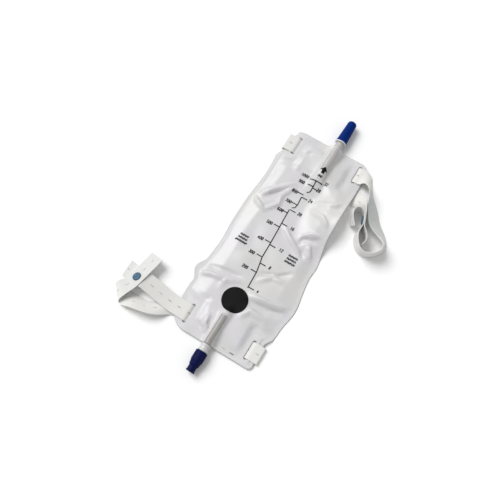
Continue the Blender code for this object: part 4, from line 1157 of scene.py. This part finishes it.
class DRAINBAG_OT_print(bpy.types.Operator):
    """Add the printed volume scale, its numbers, the arrow and the plain disc"""
    bl_idname = "drainbag.print"
    bl_label = "Add Print"

    def execute(self, context):
        settings = context.scene.drainage_print
        ink = ink_look("scale ink", settings.color)
        stem = np.array(sorted([row for line in SCALE_STEM for row in line], key=lambda row: row[1]))
        lines = [*SCALE_STEM, SCALE_TOP]
        for numbers, side in ((LEFT_NUMBERS, -1), (RIGHT_NUMBERS, 1)):
            for label, _, y in numbers[1:]:
                at = float(np.interp(y, stem[:, 1], stem[:, 0]))
                y = y - side * TICK_SHIFT
                lines.append(sorted([(at, y), (at + side * TICK_LENGTH, y)]))
        patches = [inked_strip(line, settings.line) for line in lines]
        for (x, y), lengths in WORD_ROWS:
            for i, length in enumerate(lengths):
                patches += inked_strokes((x, y + ROW_PITCH * (1 - i)), length, ROW_HEIGHT)
        patches += inked_strokes(UNIT_PLACE, *UNIT_SIZE)
        printed("print_scale", patches, ink)

        quads = grid_faces(9, 9)
        side, t = np.meshgrid(np.linspace(-1, 1, 9), np.linspace(0, 1, 9))
        printed("print_arrow", [
            (joined(ARROW_X + half * (1 - taper * t) * side, start + length * t), quads)
            for half, start, length, taper in ARROW], ink)

        # A square carried onto a disc: across by the root of one less half the square of along, and
        # the same with the two swapped
        u, v = np.meshgrid(np.linspace(-1, 1, 57), np.linspace(-1, 1, 57))
        disc = joined(u * np.sqrt(1 - v ** 2 / 2), v * np.sqrt(1 - u ** 2 / 2))
        printed("print_disc", [(DISC_PLACE + settings.disc * disc, grid_faces(57, 57))], ink)

        printed("print_numbers", [strip for label, x, y in LEFT_NUMBERS + RIGHT_NUMBERS
                                  for strip in inked_number(label, (x, y), settings.digit)], ink)
        return {"FINISHED"}


class DRAINBAG_OT_inlet(bpy.types.Operator):
    """Add the inlet tube, its stepped connector and the pull-off cap"""
    bl_idname = "drainbag.inlet"
    bl_label = "Add Inlet"

    def execute(self, context):
        settings = context.scene.drainage_fittings
        inlet, up = (INLET_X, TOP_EDGE, INLET_Z), (0, 1, 0)
        pipe("inlet_pipe", TUBE_RADIUS, TUBE_WALL, -TUBE_INSIDE, TUBE_OUTSIDE, inlet, up, 0.50, "inlet_tube",
             soft=0.0004)

        base = TUBE_OUTSIDE + CLEAR
        top = base + FLANGE_THICK
        pitch = CONNECTOR_LENGTH / BARBS
        profile = []
        for i in reversed(range(BARBS)):
            radius = BARB_RADIUS - BARB_STEP * i
            profile += [(radius - BARB_DEPTH, top + pitch * (i + 1)), (radius, top + pitch * i)]
        shank = TUBE_RADIUS - TUBE_WALL - CLEAR
        profile += [(FLANGE_RADIUS, top), (FLANGE_RADIUS, base), (shank, base),
                    (shank, base - CONNECTOR_SHANK), (CONNECTOR_BORE, base - CONNECTOR_SHANK),
                    (CONNECTOR_BORE, top + CONNECTOR_LENGTH)]
        turned("stepped_connector", profile, inlet, up, moulded_look("white moulding", settings.white, 0.32),
               ("bag", "white_plastic", "inlet_connector"), closed=True, soft=0.00025)

        mouth = top + CLEAR
        tip = mouth + CAP_LENGTH
        inner = CAP_RADIUS - CAP_WALL
        inner_tip = CAP_TIP_RADIUS - CAP_WALL
        angle = np.radians(np.linspace(90, 0, 13))[1:]
        dome = zip(CAP_TIP_RADIUS * np.cos(angle), tip - CAP_TIP_RADIUS * (1 - np.sin(angle)) * 0.7)
        profile = [(0.0, tip), *dome, (CAP_RADIUS - CAP_EDGE, mouth + CAP_BEAD),
                   (CAP_RADIUS, mouth + CAP_BEAD - CAP_EDGE), (CAP_RADIUS, mouth + CAP_EDGE),
                   (CAP_RADIUS - CAP_EDGE, mouth), (inner, mouth), (1.12 * inner_tip, tip - 4.4 * CAP_WALL),
                   (0.8 * inner_tip, tip - 2.5 * CAP_WALL), (0.0, tip - 2 * CAP_WALL)]

        def ribs(turn, height, radius):
            """Shallow grip ribs round the outside of the cap, between the bead and the dome."""
            window = step(height, *(mouth + start for start in RIBS_START))
            window = window * step(-height, *(end - tip for end in RIBS_END))
            outside = step(radius, inner + 0.0002, inner + 0.0004)
            return -RIB_DEPTH * window * outside * (0.5 - 0.5 * np.cos(CAP_RIBS * turn))

        blue = moulded_look("blue moulding", settings.cap_color, 0.42, worn=0.12, shine=0.04)
        turned("blue_cap", profile, inlet, up, blue, ("cap", "blue_plastic", "inlet_cap"), sides=144,
               ripple=ribs)
        return {"FINISHED"}


class DRAINBAG_OT_outlet(bpy.types.Operator):
    """Add the outlet tube, the white valve body, its sealing ring and the dark twist sleeve"""
    bl_idname = "drainbag.outlet"
    bl_label = "Add Outlet"

    def execute(self, context):
        settings = context.scene.drainage_fittings
        down = (0, -1, 0)
        outlet = (OUTLET_X, BOTTOM_EDGE - COLLAR_SET_OFF, OUTLET_Z)
        end = COLLAR_SET_OFF + SOCKET_DEPTH - CLEAR
        pipe("outlet_pipe", DRAIN_RADIUS, DRAIN_WALL, -DRAIN_INSIDE, end, (OUTLET_X, BOTTOM_EDGE, OUTLET_Z),
             down, 0.42, "outlet_tube", soft=0.0003)

        tip = COLLAR_LENGTH + STEM_TIP
        waist = COLLAR_RADIUS - COLLAR_WAIST
        slope = COLLAR_BAND + COLLAR_EDGE
        profile = [
            (0.0, tip), (STEM_OUTER - STEM_EDGE, tip), (STEM_OUTER, tip - STEM_EDGE),
            (STEM_OUTER, COLLAR_LENGTH), (COLLAR_RADIUS - COLLAR_EDGE, COLLAR_LENGTH),
            (COLLAR_RADIUS, COLLAR_LENGTH - COLLAR_EDGE),
            (COLLAR_RADIUS, COLLAR_LENGTH - COLLAR_BAND), (waist, COLLAR_LENGTH - slope), (waist, slope),
            (COLLAR_RADIUS, COLLAR_BAND), (COLLAR_RADIUS, COLLAR_EDGE), (COLLAR_RADIUS - COLLAR_EDGE, 0.0),
            (DRAIN_RADIUS + CLEAR, 0.0), (DRAIN_RADIUS + CLEAR, SOCKET_DEPTH), (STEM_BORE, SOCKET_DEPTH),
            (STEM_BORE, tip - STEM_FLOOR), (0.0, tip - STEM_FLOOR),
        ]

        def ports(turn, height, radius):
            """Dimples at the two side ports of the stem, at no turn and at half a turn."""
            around = np.minimum(np.abs(turn), np.minimum(np.abs(turn - math.pi), 2 * math.pi - turn))
            away = np.hypot(around * STEM_OUTER, height - (tip - PORT_SET_BACK))
            wall = step(radius, STEM_BORE + 0.0002, STEM_OUTER - 0.0002) * (radius < STEM_OUTER + 0.0002)
            return -PORT_DEPTH * (1 - step(away, *PORT_EDGE)) * wall

        white = moulded_look("collar moulding", times(settings.white, 0.78), 0.30)
        turned("valve_collar", profile, outlet, down, white, ("bag", "white_plastic", "valve_body"), sides=96,
               ripple=ports, longest=0.0006, soft=0.0002)

        angle = np.radians(90 - 15.0 * np.arange(24))
        section = list(zip(STEM_OUTER + CLEAR + RING_SECTION * (1 + np.cos(angle)),
                           COLLAR_LENGTH + RING_SET_ON + RING_SECTION * np.sin(angle)))
        turned("seal_ring", section, outlet, down, rubber_look("sealing rubber"),
               ("valve_ring", "grey_rubber", "valve_seal_ring"), closed=True)

        mouth = COLLAR_LENGTH + CLEAR
        tip = mouth + SLEEVE_LENGTH
        cavity = SLEEVE_RADIUS - SLEEVE_WALL
        shoulder = mouth + BARREL_LENGTH
        neck = tip - NOZZLE_LENGTH
        profile = [
            (NOZZLE_RIM - SLEEVE_EDGE, tip), (NOZZLE_RIM, tip - SLEEVE_EDGE), (NOZZLE_RIM, tip - NOZZLE_BAND),
            (NOZZLE_RADIUS, tip - NOZZLE_BAND - SLEEVE_EDGE), (NOZZLE_RADIUS, neck),
            (NOZZLE_RADIUS + SEAT_DEPTH, neck - 2 * SEAT_DEPTH),
            (SLEEVE_RADIUS - SLEEVE_EDGE, shoulder + SLEEVE_EDGE), (SLEEVE_RADIUS, shoulder - SLEEVE_EDGE),
            (SLEEVE_RADIUS, mouth + SLEEVE_EDGE), (SLEEVE_RADIUS - SLEEVE_EDGE, mouth), (cavity, mouth),
            (cavity, shoulder + SEAT_DEPTH), (NOZZLE_BORE, neck - 2 * SEAT_DEPTH), (NOZZLE_BORE, tip),
        ]

        def grip(turn, height, radius):
            """Twelve round grooves between ribs along the barrel."""
            window = step(height, mouth + 0.0016, mouth + 0.0032)
            window = window * (1 - step(height, shoulder - 0.0032, shoulder - 0.0014))
            outside = step(radius, cavity + 0.0006, cavity + 0.0012)
            groove = np.clip(1 - ((turn * GROOVES / 2 / math.pi + 0.5) % 1.0 - 0.5) ** 2 / 0.05, 0.0, 1.0)
            return -GROOVE_DEPTH * window * outside * np.sqrt(groove)

        navy = moulded_look("navy moulding", settings.sleeve_color, 0.42, worn=0.15, shine=0.06)
        turned("twist_sleeve", profile, outlet, down, navy, ("sleeve", "navy_plastic", "valve_sleeve"),
               sides=192, closed=True, ripple=grip, longest=0.0008)
        return {"FINISHED"}


class DRAINBAG_OT_straps(bpy.types.Operator):
    """Add the two woven straps with their buttonholes"""
    bl_idname = "drainbag.straps"
    bl_label = "Add Straps"

    def execute(self, context):
        settings = context.scene.drainage_straps
        # Each strap's first buttonhole, and where its elastic is painted greyer as shade: start, end and
        # share
        for which, stations, first_slit, shade_span in (
                ("upper", upper_strap_stations(), 0.0090, (0.150, 0.222, 1.0)),
                ("lower", lower_strap_stations(), 0.0040, (0.462, 0.560, 0.45))):
            points, faces, flat = strap_sheet(stations, settings, first_slit)
            elastic = elastic_look(which + " elastic", settings, *shade_span)
            strap = mesh_piece(which + "_elastic", points, faces, elastic, flat, sharp=None)
            add_wall(strap, STRAP_THICK)
            soften(strap, 0.00018, segments=1)
            finish_piece(strap, "bag", "white_elastic", which + "_strap")
        return {"FINISHED"}


class DRAINBAG_OT_buttons(bpy.types.Operator):
    """Add the two buttons that close the strap loops, with their washers"""
    bl_idname = "drainbag.buttons"
    bl_label = "Add Buttons"

    def execute(self, context):
        settings = context.scene.drainage_straps
        plastic = moulded_look("button moulding", settings.button_color, 0.34, worn=0.1, shine=0.35)
        white = moulded_look("washer moulding", (0.80, 0.80, 0.80), 0.4)
        shares = ((0.0, 0.80), (0.30, 0.80), (0.42, 0.86), (0.60, 0.98), (0.74, 1.0), (0.86, 0.92),
                  (0.95, 0.72), (1.0, 0.42), (0.99, 0.15), (0.94, 0.0))
        profile = [(BUTTON_RADIUS * across, BUTTON_THICK * up) for across, up in shares]
        profile += [(STEM_RADIUS, 0.0), (STEM_RADIUS, -STEM_LENGTH), (0.0, -STEM_LENGTH)]
        near = BACK_THICK - STEM_LENGTH
        far = near - BACK_THICK
        hole = STEM_RADIUS + CLEAR
        washer = [(BACK_RADIUS, near), (BACK_RADIUS, far), (hole, far), (hole, near)]
        for which, (middle, face) in (("upper", upper_button_frame()), ("lower", lower_button_frame())):
            seat = middle + face * (STRAP_THICK / 2 + CLEAR)
            turned(which + "_stud", profile, seat, face, plastic,
                   ("bag", "button_plastic", which + "_button"), longest=0.0006)
            turned(which + "_washer", washer, seat, face, white,
                   ("bag", "white_plastic", which + "_button_back"), closed=True, soft=0.0002)
        return {"FINISHED"}


def aimed(name, data, location, back):
    """Object at the location that looks the opposite way from the vector back."""
    made = bpy.data.objects.new(name, data)
    made.location = location
    made.rotation_euler = (-back).to_track_quat("-Z", "Y").to_euler()
    bpy.context.scene.collection.objects.link(made)
    return made


class DRAINBAG_OT_stage(bpy.types.Operator):
    """Add the floor, the key light, the sky and the camera at the photograph's viewing angle"""
    bl_idname = "drainbag.stage"
    bl_label = "Add Stage"

    def execute(self, context):
        scene = context.scene
        settings = scene.drainage_stage
        x, y = np.meshgrid(*[np.linspace(-FLOOR_HALF, FLOOR_HALF, 3)] * 2)
        floor = mesh_piece("floor", joined(x, y, -FLOOR_DROP), grid_faces(3, 3),
                           Look("floor", (0.95, 0.95, 0.95), 0.9, Specular_IOR_Level=0.0).material)

        # The sky is full white to the camera, in reflections and through the film
        scene.world = bpy.data.worlds.new("sky")
        scene.world.use_nodes = True
        sky = Graph(scene.world.node_tree)
        path = sky.node("ShaderNodeLightPath").outputs
        seen = Number(sky, path["Is Camera Ray"]).most(Number(sky, path["Is Glossy Ray"]))
        seen = seen.most(Number(sky, path["Is Transmission Ray"]))
        background = sky.tree.nodes["Background"]
        background.inputs["Color"].default_value = (1, 1, 1, 1)
        sky.tree.links.new((seen * (1 - settings.sky) + settings.sky).socket, background.inputs["Strength"])

        lamp = bpy.data.lights.new("key light", "SUN")
        lamp.energy = settings.sun
        lamp.angle = settings.spread
        aimed("key light", lamp, KEY_FROM, Vector(KEY_FROM))

        turn, rise = math.radians(CAMERA_TURN), math.radians(CAMERA_RISE)
        back = Vector((math.sin(turn) * math.cos(rise), -math.cos(turn) * math.cos(rise), math.sin(rise)))
        lens = bpy.data.cameras.new("camera")
        lens.lens = LENS
        lens.sensor_width = SENSOR
        lens.clip_start = 0.01
        scene.camera = aimed("camera", lens, Vector(CAMERA_AIM) + CAMERA_AWAY * back, back)
        scene.view_settings.view_transform = "Standard"
        return {"FINISHED"}


class DRAINBAG_PT_panel(bpy.types.Panel):
    """Sizes, colours and buttons of the drainage bag"""
    bl_label = "Drainage Bag"
    bl_space_type = "VIEW_3D"
    bl_region_type = "UI"
    bl_category = "Drainage Bag"

    def draw(self, context):
        for name, _, operators in GROUPS:
            settings = getattr(context.scene, name)
            box = self.layout.box()
            for setting in settings.bl_rna.properties.keys():
                if setting not in ("rna_type", "name"):
                    box.prop(settings, setting)
            for operator in operators:
                box.operator(operator.bl_idname)


GROUPS = (
    ("drainage_pouch", PouchSettings, (DRAINBAG_OT_pouch,)),
    ("drainage_print", PrintSettings, (DRAINBAG_OT_print,)),
    ("drainage_fittings", FittingSettings, (DRAINBAG_OT_inlet, DRAINBAG_OT_outlet)),
    ("drainage_straps", StrapSettings, (DRAINBAG_OT_straps, DRAINBAG_OT_buttons)),
    ("drainage_stage", StageSettings, (DRAINBAG_OT_stage,)),
)
CLASSES = [cls for _, settings, operators in GROUPS for cls in (settings, *operators)] + [DRAINBAG_PT_panel]


def register():
    for cls in CLASSES:
        bpy.utils.register_class(cls)
    for name, settings, _ in GROUPS:
        setattr(bpy.types.Scene, name, PointerProperty(type=settings))


def unregister():
    for name, _, _ in GROUPS:
        delattr(bpy.types.Scene, name)
    for cls in reversed(CLASSES):
        bpy.utils.unregister_class(cls)


def main():
    """Build every piece and the stage."""
    register()
    bpy.ops.drainbag.pouch()
    bpy.ops.drainbag.print()
    bpy.ops.drainbag.inlet()
    bpy.ops.drainbag.outlet()
    bpy.ops.drainbag.straps()
    bpy.ops.drainbag.buttons()
    bpy.ops.drainbag.stage()


if __name__ == "__main__":
    main()
